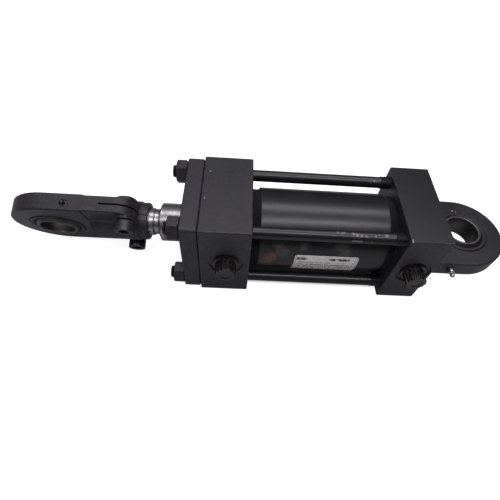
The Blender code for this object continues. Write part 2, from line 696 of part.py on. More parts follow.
def make_nipple(name, side, inwards, where, up, steel, parent):
    base = side + inwards * (NIPPLE_RECESS_DEPTH - SEAT_GAP)
    outwards = -inwards
    neck = base + outwards * NIPPLE_BASE_HEIGHT
    reach = math.sqrt(NIPPLE_BALL_RADIUS**2 - NIPPLE_NECK_RADIUS**2)
    ball = neck + outwards * (NIPPLE_NECK_HEIGHT + reach)
    profile = [
        (base + inwards * NIPPLE_STEM_LENGTH, NIPPLE_STEM_RADIUS),
        (base, NIPPLE_STEM_RADIUS),
        (base, NIPPLE_BASE_RADIUS),
        (neck, NIPPLE_BASE_RADIUS),
        (neck, NIPPLE_NECK_RADIUS),
    ]
    start = math.degrees(math.asin(NIPPLE_NECK_RADIUS / NIPPLE_BALL_RADIUS))
    for point in arc((0.0, 0.0), NIPPLE_BALL_RADIUS, 180 - start, NIPPLE_TIP_ANGLE):
        profile.append((ball + outwards * point[0], point[1]))
    add_piece(name, turned("Y", profile, TINY_SIDES, centre=(up, where)), steel, parent)


def cap_eye_ring(level, inset):
    """Outline of the cap's eye at one level, from the block round the end and back."""
    radius = CAP_EYE_RADIUS - inset
    block = -CAP_EYE_REACH
    flare = arc((block + CAP_EYE_FLARE, radius + CAP_EYE_FLARE), CAP_EYE_FLARE, 180, 270, 4)
    upper = [(block - 2 * BLOCK_EDGE, flare[0][1])] + flare
    end = arc((0.0, 0.0), radius, 90, -90, 4 * ARC_STEPS)
    lower = [(x, -y) for x, y in reversed(upper)]
    return [(x, y, level) for x, y in upper + end + lower]


def make_cap(paint, axis):
    """Square block with the eye plate forged on, and fillets where the plate leaves the block."""
    half = BLOCK_HALF
    cap = add_piece("cap_with_eye", box((CAP_FRONT, -half, -half), (CAP_REAR, half, half)), paint, axis)
    round_edges(cap, BLOCK_EDGE)
    plate_half = CAP_EYE_THICKNESS / 2
    fillet = mirrored(
        [(CAP_REAR - 2 * BLOCK_EDGE, plate_half + CAP_EYE_FILLET)]
        + arc((CAP_REAR + CAP_EYE_FILLET, plate_half + CAP_EYE_FILLET), CAP_EYE_FILLET, 180, 270)
    )
    width = CAP_EYE_RADIUS - CAP_EYE_EDGE
    fillet_rings = [[(x, y, z) for x, z in fillet] for y in (-width, width)]
    join(cap, "cap_fillets", lofted(fillet_rings))
    levels = rim_levels(plate_half, CAP_EYE_EDGE)
    rings = []
    for level, inset in levels:
        rings.append([(x + CAP_EYE_X, y, z) for x, y, z in cap_eye_ring(level, inset)])
    join(cap, "cap_eye_plate", lofted(rings))
    chamber = PISTON_NUT_ACROSS_FLATS / math.sqrt(3) + CAP_CHAMBER_ROOM
    chamber_floor = CAP_PORT_X + CAP_CHAMBER_PAST_PORT
    chamber_profile = [(CAP_FRONT - OVERCUT, chamber), (chamber_floor, chamber)]
    cut(cap, "cap_chamber", turned("X", chamber_profile, MIDDLE_SIDES))
    cut(cap, "cap_tube_seat", tube_seat(CAP_FRONT, 1))
    holes = tie_rod_holes(CAP_FRONT - OVERCUT, CAP_FRONT + TIE_ROD_SEAT_DEPTH + TIE_ROD_END_ROOM)
    cut(cap, "cap_tie_rod_holes", holes)
    cut(cap, "cap_port", port_bore(CAP_PORT_X))
    seat = housing_bore(CAP_EYE_THICKNESS)
    bmesh.ops.translate(seat, verts=seat.verts, vec=(CAP_EYE_X, 0, 0))
    cut(cap, "cap_bearing_seat", seat)
    cut(cap, "cap_nipple_hole", nipple_hole(-CAP_EYE_RADIUS, 1, CAP_EYE_X - CAP_NIPPLE_BACK))


def make_bearing_rings(prefix, steel, parent):
    """Outer ring with a hollow spherical race and grease groove, and the ball-shaped inner ring."""
    half = BEARING_WIDTH / 2
    race = BALL_RADIUS + BALL_GAP
    lip_level = half - BEARING_LIP_CHAMFER
    lip_angle = math.degrees(math.asin(lip_level / race))
    lip_radius = math.sqrt(race**2 - lip_level**2)
    groove = BEARING_GROOVE_WIDTH / 2
    outer = [
        (-half, BEARING_RADIUS - BEARING_CHAMFER),
        (-half + BEARING_CHAMFER, BEARING_RADIUS),
        (-groove, BEARING_RADIUS),
        (-groove, BEARING_RADIUS - BEARING_GROOVE_DEPTH),
        (groove, BEARING_RADIUS - BEARING_GROOVE_DEPTH),
        (groove, BEARING_RADIUS),
        (half - BEARING_CHAMFER, BEARING_RADIUS),
        (half, BEARING_RADIUS - BEARING_CHAMFER),
        (half, lip_radius + BEARING_LIP_CHAMFER),
    ]
    outer += [(y, x) for x, y in arc((0.0, 0.0), race, lip_angle, -lip_angle, 4)]
    outer.append((-half, lip_radius + BEARING_LIP_CHAMFER))
    add_piece(prefix + "_outer_ring", turned("Z", outer, MIDDLE_SIDES, bored=True), steel, parent)
    half = BALL_WIDTH / 2
    face_angle = math.degrees(math.asin(half / BALL_RADIUS))
    inner = [(y, x) for x, y in arc((0.0, 0.0), BALL_RADIUS, -face_angle, face_angle)]
    inner += [
        (half, BALL_BORE_RADIUS + BEARING_CHAMFER),
        (half - BEARING_CHAMFER, BALL_BORE_RADIUS),
        (-half + BEARING_CHAMFER, BALL_BORE_RADIUS),
        (-half, BALL_BORE_RADIUS + BEARING_CHAMFER),
    ]
    add_piece(prefix + "_inner_ring", turned("Z", inner, MIDDLE_SIDES, bored=True), steel, parent)


def make_rod(chrome, axis):
    undercut = ROD_THREAD_RADIUS - ROD_UNDERCUT_DEPTH
    thread_front = HUB_END_X - ROD_SCREWED_LENGTH
    chamfer = ROD_UNDERCUT_DEPTH
    profile = [
        (thread_front, ROD_THREAD_RADIUS - chamfer),
        (thread_front + chamfer, ROD_THREAD_RADIUS),
        (ROD_THREAD_REAR - chamfer, ROD_THREAD_RADIUS),
        (ROD_THREAD_REAR, undercut),
        (ROD_CONE_FRONT, undercut),
        (ROD_CONE_REAR, ROD_RADIUS),
        (ROD_SHOULDER, ROD_RADIUS),
        (ROD_SHOULDER, ROD_STUD_RADIUS),
        (ROD_REAR - chamfer, ROD_STUD_RADIUS),
        (ROD_REAR, ROD_STUD_RADIUS - chamfer),
    ]
    add_piece("piston_rod", turned("X", profile, MIDDLE_SIDES), chrome, axis)


def piston_grooves():
    """Name, middle, width and depth of each groove round the piston."""
    from_end = WEAR_RING_FROM_END + WEAR_RING_WIDTH / 2
    return [
        ("wear_ring_front", PISTON_FRONT + from_end, WEAR_RING_WIDTH, WEAR_RING_DEPTH),
        ("piston_seal", PISTON_MIDDLE, PISTON_SEAL_WIDTH, PISTON_SEAL_DEPTH),
        ("wear_ring_rear", PISTON_REAR - from_end, WEAR_RING_WIDTH, WEAR_RING_DEPTH),
    ]


def make_piston(steel, polymer, axis):
    profile = [(PISTON_FRONT, PISTON_RADIUS - SEAT_GAP), (PISTON_FRONT + SEAT_GAP, PISTON_RADIUS)]
    for _, middle, width, depth in piston_grooves():
        half = width / 2 + SEAT_GAP
        floor = PISTON_RADIUS - depth
        profile += [(middle - half, PISTON_RADIUS), (middle - half, floor)]
        profile += [(middle + half, floor), (middle + half, PISTON_RADIUS)]
    hole = ROD_STUD_RADIUS + SEAT_GAP
    profile += [(PISTON_REAR - SEAT_GAP, PISTON_RADIUS), (PISTON_REAR, PISTON_RADIUS - SEAT_GAP)]
    profile += [(PISTON_REAR, hole), (PISTON_FRONT, hole)]
    add_piece("piston", turned("X", profile, MIDDLE_SIDES, bored=True), steel, axis)
    for name, middle, width, depth in piston_grooves():
        inner = PISTON_RADIUS - depth + SEAT_GAP
        outer = BORE_RADIUS - SEAT_GAP
        low = middle - width / 2
        high = middle + width / 2
        section = [(low, inner), (low, outer), (high, outer), (high, inner)]
        add_piece(name, turned("X", section, MIDDLE_SIDES, bored=True), polymer, axis)


def hub_section():
    """Section of the hub across the rod eye: round barrel, fillets, and two flat lugs."""
    half = ROD_EYE_THICKNESS / 2 - ROD_EYE_STEP
    lift = half + HUB_FILLET
    reach = math.sqrt((HUB_RADIUS + HUB_FILLET) ** 2 - lift**2)
    lean = math.degrees(math.atan2(lift, reach))
    rim = arc((ROD_EYE_RADIUS - ROD_EYE_EDGE, half - ROD_EYE_EDGE), ROD_EYE_EDGE, 0, 90, 3)
    fillet = arc((reach, lift), HUB_FILLET, 270, 180 + lean, 5)
    barrel = arc((0.0, 0.0), HUB_RADIUS, lean, 180 - lean, 2 * ARC_STEPS)
    across = [(-u, n) for u, n in reversed(rim + fillet)]
    return mirrored(rim + fillet + barrel[1:-1] + across)


def hub_side_profile():
    """Side view that rounds the barrel's nose where it leaves the eye."""
    start = ROD_EYE_STEP_AT - SEAT_GAP
    rise = HUB_RADIUS + OVERCUT - HUB_NOSE_START
    upper = [(ROD_EYE_STEP_AT - ROD_EYE_WALL / 4, HUB_NOSE_START)]
    for x, n in arc((0.0, 0.0), 1.0, 180, 90):
        upper.append((start + HUB_NOSE_LENGTH * (1 + x), HUB_NOSE_START + rise * n))
    upper.append((ROD_EYE_TO_HUB_END, HUB_RADIUS + OVERCUT))
    return mirrored(upper)


def lug_plan():
    """Plan that rounds the two corners of the lugs."""
    corner = (LUG_END - LUG_CORNER, ROD_EYE_RADIUS - LUG_CORNER)
    return mirrored([(0.0, ROD_EYE_RADIUS + OVERCUT)] + arc(corner, LUG_CORNER, 90, 0))


def rod_eye_disc():
    """The eye itself, rounded along its rim and cut square at the step."""
    rings = []
    for level, inset in rim_levels(ROD_EYE_THICKNESS / 2, ROD_EYE_EDGE):
        half = [(ROD_EYE_STEP_AT, ROD_EYE_RADIUS - inset)]
        half += arc((0.0, 0.0), ROD_EYE_RADIUS - inset, 90, 270, 4 * ARC_STEPS)
        half.append((ROD_EYE_STEP_AT, inset - ROD_EYE_RADIUS))
        rings.append([(x, u, level) for x, u in half])
    return lofted(rings)


def clamp_places():
    return [("upper", CLAMP_SCREW_OFFSET), ("lower", -CLAMP_SCREW_OFFSET)]


def at_clamp_screws(profile, sides):
    """The same turned shape at both clamp screws."""
    build = bmesh.new()
    for _, u in clamp_places():
        add_loft(build, [ring("Z", level, radius, sides, (CLAMP_SCREW_X, u)) for level, radius in profile])
    return build


def make_rod_eye(paint, centre):
    """Clamped eye: the hub is shaped first, then the disc and collar are added, then it is machined."""
    start = ROD_EYE_STEP_AT - ROD_EYE_WALL / 4
    end = ROD_EYE_TO_HUB_END
    side = ROD_EYE_RADIUS + OVERCUT
    seat = CLAMP_SEAT_HEIGHT
    eye = add_piece("rod_eye_body", extruded("X", hub_section(), start, LUG_END + OVERCUT), paint, centre)
    nose = lofted([[(x, u, n) for x, n in hub_side_profile()] for u in (-side, side)])
    keep_common(eye, "hub_nose", nose)
    raw = seat + OVERCUT
    bosses = [(-raw, CLAMP_SEAT_RADIUS), (raw, CLAMP_SEAT_RADIUS)]
    join(eye, "clamp_bosses", at_clamp_screws(bosses, SMALL_SIDES))
    deep = HUB_RADIUS + 2 * OVERCUT
    keep_common(eye, "lug_corners", extruded("Z", lug_plan(), -deep, deep))
    join(eye, "eye_disc", rod_eye_disc())
    collar = [
        (LUG_END - COLLAR_LENGTH / 2, COLLAR_RADIUS),
        (end - COLLAR_STEP, COLLAR_RADIUS),
        (end, COLLAR_RADIUS - COLLAR_STEP),
    ]
    join(eye, "hub_collar", turned("X", collar, MIDDLE_SIDES))
    cut(eye, "rod_bearing_seat", housing_bore(ROD_EYE_THICKNESS))
    bore = [(THREAD_BORE_START, THREAD_BORE_RADIUS), (end + OVERCUT, THREAD_BORE_RADIUS)]
    cut(eye, "thread_bore", turned("X", bore, MIDDLE_SIDES))
    spot = [(seat, CLAMP_SPOT_RADIUS), (deep, CLAMP_SPOT_RADIUS)]
    cut(eye, "clamp_spot_faces", at_clamp_screws(spot, SMALL_SIDES))
    spot = [(-deep, CLAMP_SPOT_RADIUS), (-seat, CLAMP_SPOT_RADIUS)]
    cut(eye, "clamp_back_faces", at_clamp_screws(spot, SMALL_SIDES))
    hole = [(-deep, CLAMP_HOLE_RADIUS), (deep, CLAMP_HOLE_RADIUS)]
    cut(eye, "clamp_holes", at_clamp_screws(hole, TINY_SIDES))
    slit = box((end - SLIT_LENGTH, -side, -SLIT_WIDTH / 2), (end + OVERCUT, side, SLIT_WIDTH / 2))
    cut(eye, "clamp_slit", slit)
    cut(eye, "rod_nipple_hole", nipple_hole(ROD_EYE_RADIUS, -1, ROD_NIPPLE_BACK, ROD_NIPPLE_OFFSET))


def make_clamp_screws(steel, centre):
    """Socket head screws through both halves of the lugs."""
    seat = CLAMP_SEAT_HEIGHT + SEAT_GAP
    top = seat + CLAMP_HEAD_HEIGHT
    chamfer = CLAMP_SCREW_SHORT
    profile = [
        (-CLAMP_SEAT_HEIGHT + CLAMP_SCREW_SHORT, CLAMP_SCREW_RADIUS - chamfer),
        (-CLAMP_SEAT_HEIGHT + 2 * CLAMP_SCREW_SHORT, CLAMP_SCREW_RADIUS),
        (seat, CLAMP_SCREW_RADIUS),
        (seat, CLAMP_HEAD_RADIUS),
        (top - chamfer, CLAMP_HEAD_RADIUS),
        (top, CLAMP_HEAD_RADIUS - chamfer),
    ]
    for name, u in clamp_places():
        screw = add_piece("clamp_screw_" + name, turned("Z", profile, SMALL_SIDES), steel, centre)
        screw.location = (CLAMP_SCREW_X, u, 0)
        corner = CLAMP_SOCKET_ACROSS_FLATS / math.sqrt(3)
        socket = [ring("Z", level, corner, 6) for level in (top - CLAMP_SOCKET_DEPTH, top + OVERCUT)]
        cut(screw, "clamp_socket_" + name, lofted(socket))


def main():
    clear_scene()
    paint = make_material("black_paint", (0.035, 0.035, 0.04), 0.0, 0.38)
    tube_paint = make_material("tube_paint", (0.03, 0.03, 0.033), 0.0, 0.34)
    chrome = make_material("rod_chrome", (0.62, 0.63, 0.65), 1.0, 0.16)
    bearing_steel = make_material("bearing_steel", (0.30, 0.29, 0.28), 1.0, 0.36)
    dark_steel = make_material("dark_steel", (0.06, 0.06, 0.065), 0.8, 0.42)
    zinc = make_material("nipple_zinc", (0.65, 0.66, 0.68), 1.0, 0.3)
    iron = make_material("inner_iron", (0.28, 0.28, 0.29), 0.9, 0.5)
    polymer = make_material("seal_polymer", (0.05, 0.09, 0.16), 0.0, 0.5)
    rubber = make_material("o_ring_rubber", (0.02, 0.02, 0.02), 0.0, 0.6)
    plastic = make_material("plug_plastic", (0.03, 0.03, 0.033), 0.0, 0.45)
    foil = make_material("label_foil", (0.42, 0.42, 0.43), 0.3, 0.45)

    axis = empty("cylinder_axis", location=(0, 0, AXIS_HEIGHT))
    rod_axis = empty("rod_axis", axis)
    rod_eye_centre = empty("rod_eye_centre", rod_axis, (ROD_EYE_X, 0, 0), ROD_EYE_TURN)
    cap_eye_centre = empty("cap_eye_centre", axis, (CAP_EYE_X, 0, 0))

    make_head(paint, axis)
    make_retainer(paint, axis)
    make_gland(iron, axis)
    make_gland_seals(polymer, axis)
    make_o_ring("gland_o_ring", GLAND_O_RING_X, GLAND_BODY_RADIUS, rubber, axis)
    make_tube(tube_paint, axis)
    make_o_ring("tube_seal_head", HEAD_O_RING_X, SPIGOT_RADIUS, rubber, axis)
    make_o_ring("tube_seal_cap", CAP_O_RING_X, SPIGOT_RADIUS, rubber, axis)
    make_label(foil, axis)
    make_tie_rods(paint, axis)
    make_tie_rod_nuts(paint, axis)
    make_port_plug("port_plug_head", HEAD_PORT_X, plastic, axis)
    make_port_plug("port_plug_cap", CAP_PORT_X, plastic, axis)
    make_cap(paint, axis)
    make_bearing_rings("cap_bearing", bearing_steel, cap_eye_centre)
    make_nipple("cap_grease_nipple", -CAP_EYE_RADIUS, 1, -CAP_NIPPLE_BACK, 0.0, zinc, cap_eye_centre)

    make_rod(chrome, rod_axis)
    make_piston(iron, polymer, rod_axis)
    sizes = (PISTON_NUT_ACROSS_FLATS, PISTON_NUT_HEIGHT, ROD_STUD_RADIUS + SEAT_GAP, MIDDLE_SIDES)
    make_nut("piston_nut", *sizes, iron, rod_axis, (PISTON_NUT_FRONT, 0, 0))
    make_rod_eye(paint, rod_eye_centre)
    make_clamp_screws(dark_steel, rod_eye_centre)
    make_bearing_rings("rod_eye_bearing", bearing_steel, rod_eye_centre)
    nipple = (ROD_EYE_RADIUS, -1, ROD_NIPPLE_BACK, ROD_NIPPLE_OFFSET)
    make_nipple("rod_eye_grease_nipple", *nipple, zinc, rod_eye_centre)


main()
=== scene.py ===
# %% [markdown]
# # A tie-rod cylinder with two bearing eyes
# The real object is a compact cylinder: two square steel blocks hold a tube between four long tie rods, and
# a bright rod with a clamped eye slides in and out of it. Its solids come packed, in metres and in their
# places. This lesson gives them the finishes of the real one, and makes finer pieces where light shows a
# solid's flats. The first cell loads the packed solids.

# %% Load the packed solids
import json
import math

import bmesh
import bpy
from mathutils import Matrix, Vector


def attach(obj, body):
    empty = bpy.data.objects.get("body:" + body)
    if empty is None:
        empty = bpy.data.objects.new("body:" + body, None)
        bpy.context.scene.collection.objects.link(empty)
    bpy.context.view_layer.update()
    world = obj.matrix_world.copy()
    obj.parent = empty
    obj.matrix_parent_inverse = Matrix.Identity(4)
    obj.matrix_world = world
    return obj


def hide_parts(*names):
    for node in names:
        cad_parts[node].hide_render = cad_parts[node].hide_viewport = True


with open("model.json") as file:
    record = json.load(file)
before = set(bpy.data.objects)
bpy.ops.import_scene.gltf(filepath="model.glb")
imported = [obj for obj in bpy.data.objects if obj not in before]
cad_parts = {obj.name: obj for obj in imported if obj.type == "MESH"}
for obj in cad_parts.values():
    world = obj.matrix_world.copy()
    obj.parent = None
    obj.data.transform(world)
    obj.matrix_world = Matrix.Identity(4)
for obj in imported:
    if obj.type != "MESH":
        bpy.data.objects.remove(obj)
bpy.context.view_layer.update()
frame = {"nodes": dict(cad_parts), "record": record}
MM = 0.001

# %% [markdown]
# ## The camera
# The picture looks down on the cylinder at about 55 degrees with a short lens, close enough for the near
# corners to swell. A camera is a turned frame of three arrows: where it looks, its right and its up.
# Building these from two angles and a roll is exact, while a tracking constraint would hide the roll.

# %% Turn the camera
CAMERA_AZIMUTH = math.radians(-4.36)
CAMERA_ELEVATION = math.radians(54.44)
CAMERA_ROLL = math.radians(6.26)


def camera_turn(azimuth, elevation, roll):
    """The turn of a camera that looks along azimuth from +Y and down by elevation, then rolls."""
    look = Vector(
        (
            -math.sin(azimuth) * math.cos(elevation),
            math.cos(azimuth) * math.cos(elevation),
            -math.sin(elevation),
        )
    )
    level_right = Vector((math.cos(azimuth), math.sin(azimuth), 0))
    level_up = level_right.cross(look)
    right = math.cos(roll) * level_right + math.sin(roll) * level_up
    up = math.cos(roll) * level_up - math.sin(roll) * level_right
    return Matrix((right, up, -look)).transposed()


turn = camera_turn(CAMERA_AZIMUTH, CAMERA_ELEVATION, CAMERA_ROLL)
print("the camera looks along", -turn.col[2])

# %% Place the camera
CAMERA_PLACE = Vector((7.4, -230.1, 328.1)) * MM
FOCAL_PIXELS = 377.1
PICTURE_PIXELS = 500
SENSOR_WIDTH = 36.0
CLIP_NEAR = 0.01
CLIP_FAR = 50.0

camera = bpy.data.objects.new("camera", bpy.data.cameras.new("camera"))
camera.data.sensor_fit = "HORIZONTAL"
camera.data.sensor_width = SENSOR_WIDTH
camera.data.lens = FOCAL_PIXELS / PICTURE_PIXELS * SENSOR_WIDTH
camera.data.clip_start = CLIP_NEAR
camera.data.clip_end = CLIP_FAR
camera.matrix_world = Matrix.Translation(CAMERA_PLACE) @ turn.to_4x4()
bpy.context.scene.collection.objects.link(camera)
bpy.context.scene.camera = camera
bpy.context.scene.view_settings.view_transform = "Standard"
print("lens in millimetres:", round(camera.data.lens, 2))

# %% [markdown]
# ## Writing node trees as sums
# A finish is a small tree of nodes. Adding each node by hand is long and hard to read, so one class wraps a
# node's output, and plus, minus, times and the rest add the Math node that they stand for. The same class
# serves material trees and Geometry Nodes trees, because both use the same Math node.


# %% Wrap a socket
class Signal:
    """One output of a node, ready to be calculated with."""

    def __init__(self, graph, socket):
        self.graph = graph
        self.socket = socket

    def math(self, operation, *others):
        inputs = dict(enumerate((self,) + others))
        return self.graph.add("ShaderNodeMath", {"operation": operation}, inputs)

    def other(self, output):
        """Another output of the same node."""
        return Signal(self.graph, self.socket.node.outputs[output])

    def __add__(self, value):
        return self.math("ADD", value)

    def __mul__(self, value):
        return self.math("MULTIPLY", value)

    __radd__ = __add__
    __rmul__ = __mul__

    def __sub__(self, value):
        return self.math("SUBTRACT", value)

    def __rsub__(self, value):
        return self * -1 + value

    def __truediv__(self, value):
        return self.math("DIVIDE", value)

    def __rtruediv__(self, value):
        return self.graph.add("ShaderNodeMath", {"operation": "DIVIDE"}, {0: value, 1: self})

    def __abs__(self):
        return self.math("ABSOLUTE")

    def least(self, value):
        return self.math("MINIMUM", value)

    def most(self, value):
        return self.math("MAXIMUM", value)

    def step(self, low, high):
        """0 below low, 1 above high, smooth between; low may be the larger one."""
        settings = {"interpolation_type": "SMOOTHSTEP"}
        inputs = {"Value": self, "From Min": low, "From Max": high}
        return self.graph.add("ShaderNodeMapRange", settings, inputs)

    def choose(self, below, above):
        """The colour below where this is 0, and above where it is 1."""
        # A Mix node's colours are its inputs 6 and 7, and their mixture is its output 2.
        inputs = {0: self, 6: below, 7: above}
        return self.graph.add("ShaderNodeMix", {"data_type": "RGBA"}, inputs, 2)


print("helper:", Signal.__doc__)


# %% Wrap a tree
class Graph:
    """A node tree that is filled by calls."""

    def __init__(self, tree):
        self.tree = tree

    def add(self, kind, settings=None, inputs=None, output=0):
        """Adds a node: its settings first, then the values or links of its sockets."""
        node = self.tree.nodes.new(kind)
        for key, value in (settings or {}).items():
            setattr(node, key, value)
        for key, value in (inputs or {}).items():
            if isinstance(value, Signal):
                self.tree.links.new(value.socket, node.inputs[key])
            else:
                node.inputs[key].default_value = value
        return Signal(self, node.outputs[output]) if node.outputs else None


print("helper:", Graph.__doc__)

# %% [markdown]
# ## The floor
# The cylinder lies on a plain white table. A matt white sheet takes its shadow, and a little light of the
# sheet's own lifts it to white in the picture. Only the camera and the rays through holes see that light,
# so none of it falls on the object or shows in its paint. Right under the tube it is left out, where the
# real table is in shadow.


# %% Begin a material
def new_material(name):
    """A new material and its empty tree."""
    material = bpy.data.materials.new(name)
    material.use_nodes = True
    material.node_tree.nodes.clear()
    return material, Graph(material.node_tree)


def object_place(graph):
    """The place on a piece, in metres from the origin."""
    return graph.add("ShaderNodeTexCoord", output="Object")


def split(graph, vector):
    """The three numbers of a vector."""
    x = graph.add("ShaderNodeSeparateXYZ", None, {0: vector}, "X")
    return x, x.other("Y"), x.other("Z")


def seen_directly(graph):
    """1 for the rays that show a thing itself, in the picture and through holes."""
    path = graph.add("ShaderNodeLightPath", output="Is Camera Ray")
    return path.most(path.other("Is Transmission Ray"))


floor_material, graph = new_material("white_table")
print("material:", floor_material.name)

# %% Mix the white of the floor
FLOOR_COLOUR = (0.45, 0.45, 0.45, 1)
FLOOR_LIFT = 0.90
# The patch under the tube: its middle, and how far from it the shade ends and is full.
SHADED_MIDDLE = 84 * MM
SHADED_ALONG = (112 * MM, 96 * MM)
SHADED_ACROSS = (37 * MM, 30 * MM)

sheet = graph.add("ShaderNodeBsdfDiffuse", None, {"Color": FLOOR_COLOUR})
x, y = split(graph, object_place(graph))[:2]
under = abs(x - SHADED_MIDDLE).step(*SHADED_ALONG) * abs(y).step(*SHADED_ACROSS)
shown = seen_directly(graph) * (1 - under) * FLOOR_LIFT
lift = graph.add("ShaderNodeEmission", None, {"Strength": shown})
both = graph.add("ShaderNodeAddShader", None, {0: sheet, 1: lift})
graph.add("ShaderNodeOutputMaterial", None, {"Surface": both})
print("floor nodes:", len(floor_material.node_tree.nodes))

# %% Lay the floor
FLOOR_SIZE = 8.0
FLOOR_DROP = 0.2 * MM

half = FLOOR_SIZE / 2
corners = [(-half, -half), (half, -half), (half, half), (-half, half)]
floor_mesh = bpy.data.meshes.new("floor")
floor_mesh.from_pydata([(x, y, -FLOOR_DROP) for x, y in corners], [], [(0, 1, 2, 3)])
floor_mesh.materials.append(floor_material)
floor = bpy.data.objects.new("floor", floor_mesh)
bpy.context.scene.collection.objects.link(floor)
print("floor:", FLOOR_SIZE, "m wide and", FLOOR_DROP, "m below the cylinder")

# %% [markdown]
# ## The room
# Satin paint shows mostly what it mirrors. A photograph of a studio would do as a room, but a rule is
# easier to steer: dim all round, paler towards the ceiling, and less pale on the cap's side. Its slow
# change is what draws the dark and light bands along the round parts. The camera itself sees plain white.

# %% Paint the room
ROOM_DIM = 0.034
ROOM_CEILING = 0.25
CEILING_RISE = (-0.05, 0.95)
CAP_SIDE = (0.15, 0.6)
CAP_SIDE_LOSS = 0.45

room = bpy.data.worlds.new("room")
room.use_nodes = True
room.node_tree.nodes.clear()
graph = Graph(room.node_tree)
x, y, z = split(graph, graph.add("ShaderNodeTexCoord", output="Generated"))
glow = ROOM_DIM + ROOM_CEILING * z.step(*CEILING_RISE) * (1 - CAP_SIDE_LOSS * x.step(*CAP_SIDE))
level = seen_directly(graph).most(glow)
shade = graph.add("ShaderNodeBackground", None, {"Color": (1, 1, 1, 1), "Strength": level})
graph.add("ShaderNodeOutputWorld", None, {"Surface": shade})
bpy.context.scene.world = room
print("room nodes:", len(room.node_tree.nodes))

# %% [markdown]
# ## Two lamps
# A long soft lamp hangs over the far side and lays a bright line along the tube. A narrower one on the
# camera's side gives the front faces their grey. Area lamps are used because their length and width are
# seen in glossy paint, where a point lamp would leave a dot.

# %% Hang the lamps
LAMP_TINT = (1.0, 0.975, 1.04)
LAMP_AIM = Vector((0.05, 0, 0))


def add_lamp(name, place, width, length, watts):
    """A soft rectangular lamp at a place, turned towards the cylinder."""
    lamp = bpy.data.objects.new(name, bpy.data.lights.new(name, "AREA"))
    lamp.data.shape = "RECTANGLE"
    lamp.data.size = width
    lamp.data.size_y = length
    lamp.data.energy = watts
    lamp.data.color = LAMP_TINT
    lamp.location = place
    lamp.rotation_euler = (LAMP_AIM - Vector(place)).to_track_quat("-Z", "Y").to_euler()
    bpy.context.scene.collection.objects.link(lamp)
    print(name, "watts:", watts)


add_lamp("overhead_lamp", (0.05, 0.42, 1.25), width=1.8, length=0.32, watts=9)
add_lamp("camera_side_lamp", (0.1, -0.45, 1.25), width=1.6, length=0.14, watts=8.5)

# %% [markdown]
# ## A glossy finish from noise
# Every finish here is one Principled surface whose colour, roughness and small relief follow noise. Noise
# is read at the place on the piece, so it stays fixed to it when the piece moves. A painted picture would
# need each piece unwrapped first.


# %% Start a finish
def gloss_material(name, settings):
    """A material with one Principled surface; settings(graph) gives the values of its sockets."""
    material, graph = new_material(name)
    surface = graph.add("ShaderNodeBsdfPrincipled", None, settings(graph))
    graph.add("ShaderNodeOutputMaterial", None, {"Surface": surface})
    print(name, "nodes:", len(material.node_tree.nodes))
    return material


print("helper:", gloss_material.__doc__)


# %% Read noise and raise a relief
def noise(graph, place, scale, detail, roughness=0.5):
    """Cloudy noise from 0 to 1; scale is in clouds per metre."""
    inputs = {"Vector": place, "Scale": scale, "Detail": detail, "Roughness": roughness}
    return graph.add("ShaderNodeTexNoise", None, inputs)


def stretched(graph, place, factors):
    """The place with each axis scaled, so that noise on it is drawn out along the small ones."""
    return graph.add("ShaderNodeVectorMath", {"operation": "MULTIPLY"}, {0: place, 1: factors}, "Vector")


def bump(graph, height, distance, strength):
    """A relief that rises by distance where height is 1."""
    inputs = {"Height": height, "Distance": distance, "Strength": strength}
    return graph.add("ShaderNodeBump", None, inputs, "Normal")


for helper in (noise, stretched, bump):
    print("helper:", helper.__doc__)

# %% [markdown]
# ## Masks for wear, dust and knocks
# Wear is not spread evenly. Paint rubs thin along edges, dust lies on faces that look up, and a knock takes
# out one chip. The same masks also lay painted light and shade: a paler line along edges as a painted
# highlight, and a painted shade on the cap's upper faces and round a nipple. Each is a mask, a number from
# 0 to 1 that is worked out from the place and the way a face looks. A painted picture could show the same,
# but a rule stays equally sharp from near and from far.

# %% Write the masks
# How far up a face's normal points where dust starts to lie, and where it lies in full; on the cap the
# same mask lays a painted shade.
LOOKING_UP = (0.45, 0.98)
EDGE_CLOUDS = 420


def facing_up(graph):
    """1 on faces that look up, 0 on upright ones."""
    normal = graph.add("ShaderNodeNewGeometry", output="Normal")
    return split(graph, normal)[2].step(*LOOKING_UP)


def box_edges(graph, place, low, high, width):
    """1 in a broken line along the edges of a box between two corners in millimetres."""
    gaps = []
    for axis, a, b in zip(split(graph, place), low, high):
        gaps.append(abs(axis - a * MM).least(abs(axis - b * MM)))
    first, second, third = gaps
    gap = first.least(second).most(first.most(second).least(third))
    ragged = gap + (noise(graph, place, EDGE_CLOUDS, 3) - 0.5) * (3 * width)
    return ragged.step(width, 0.2 * width)


print("a face looks up from", round(math.degrees(math.asin(LOOKING_UP[0]))), "degrees off upright")


# %% Write the blots
def blots(graph, place, marks, core=0.75, fineness=700):
    """1 inside ragged round marks, each (x, y, z, radius) in millimetres; a small core fades them softly."""
    ragged = noise(graph, place, fineness, 3, 0.6) - 0.5
    total = 0.0
    for x, y, z, radius in marks:
        centre = (x * MM, y * MM, z * MM)
        away = graph.add("ShaderNodeVectorMath", {"operation": "DISTANCE"}, {0: place, 1: centre}, "Value")
        mask = (away + ragged * (1.6 * radius * MM)).step(radius * MM, core * radius * MM)
        total = mask.most(total)
    return total


print("helper:", blots.__doc__)
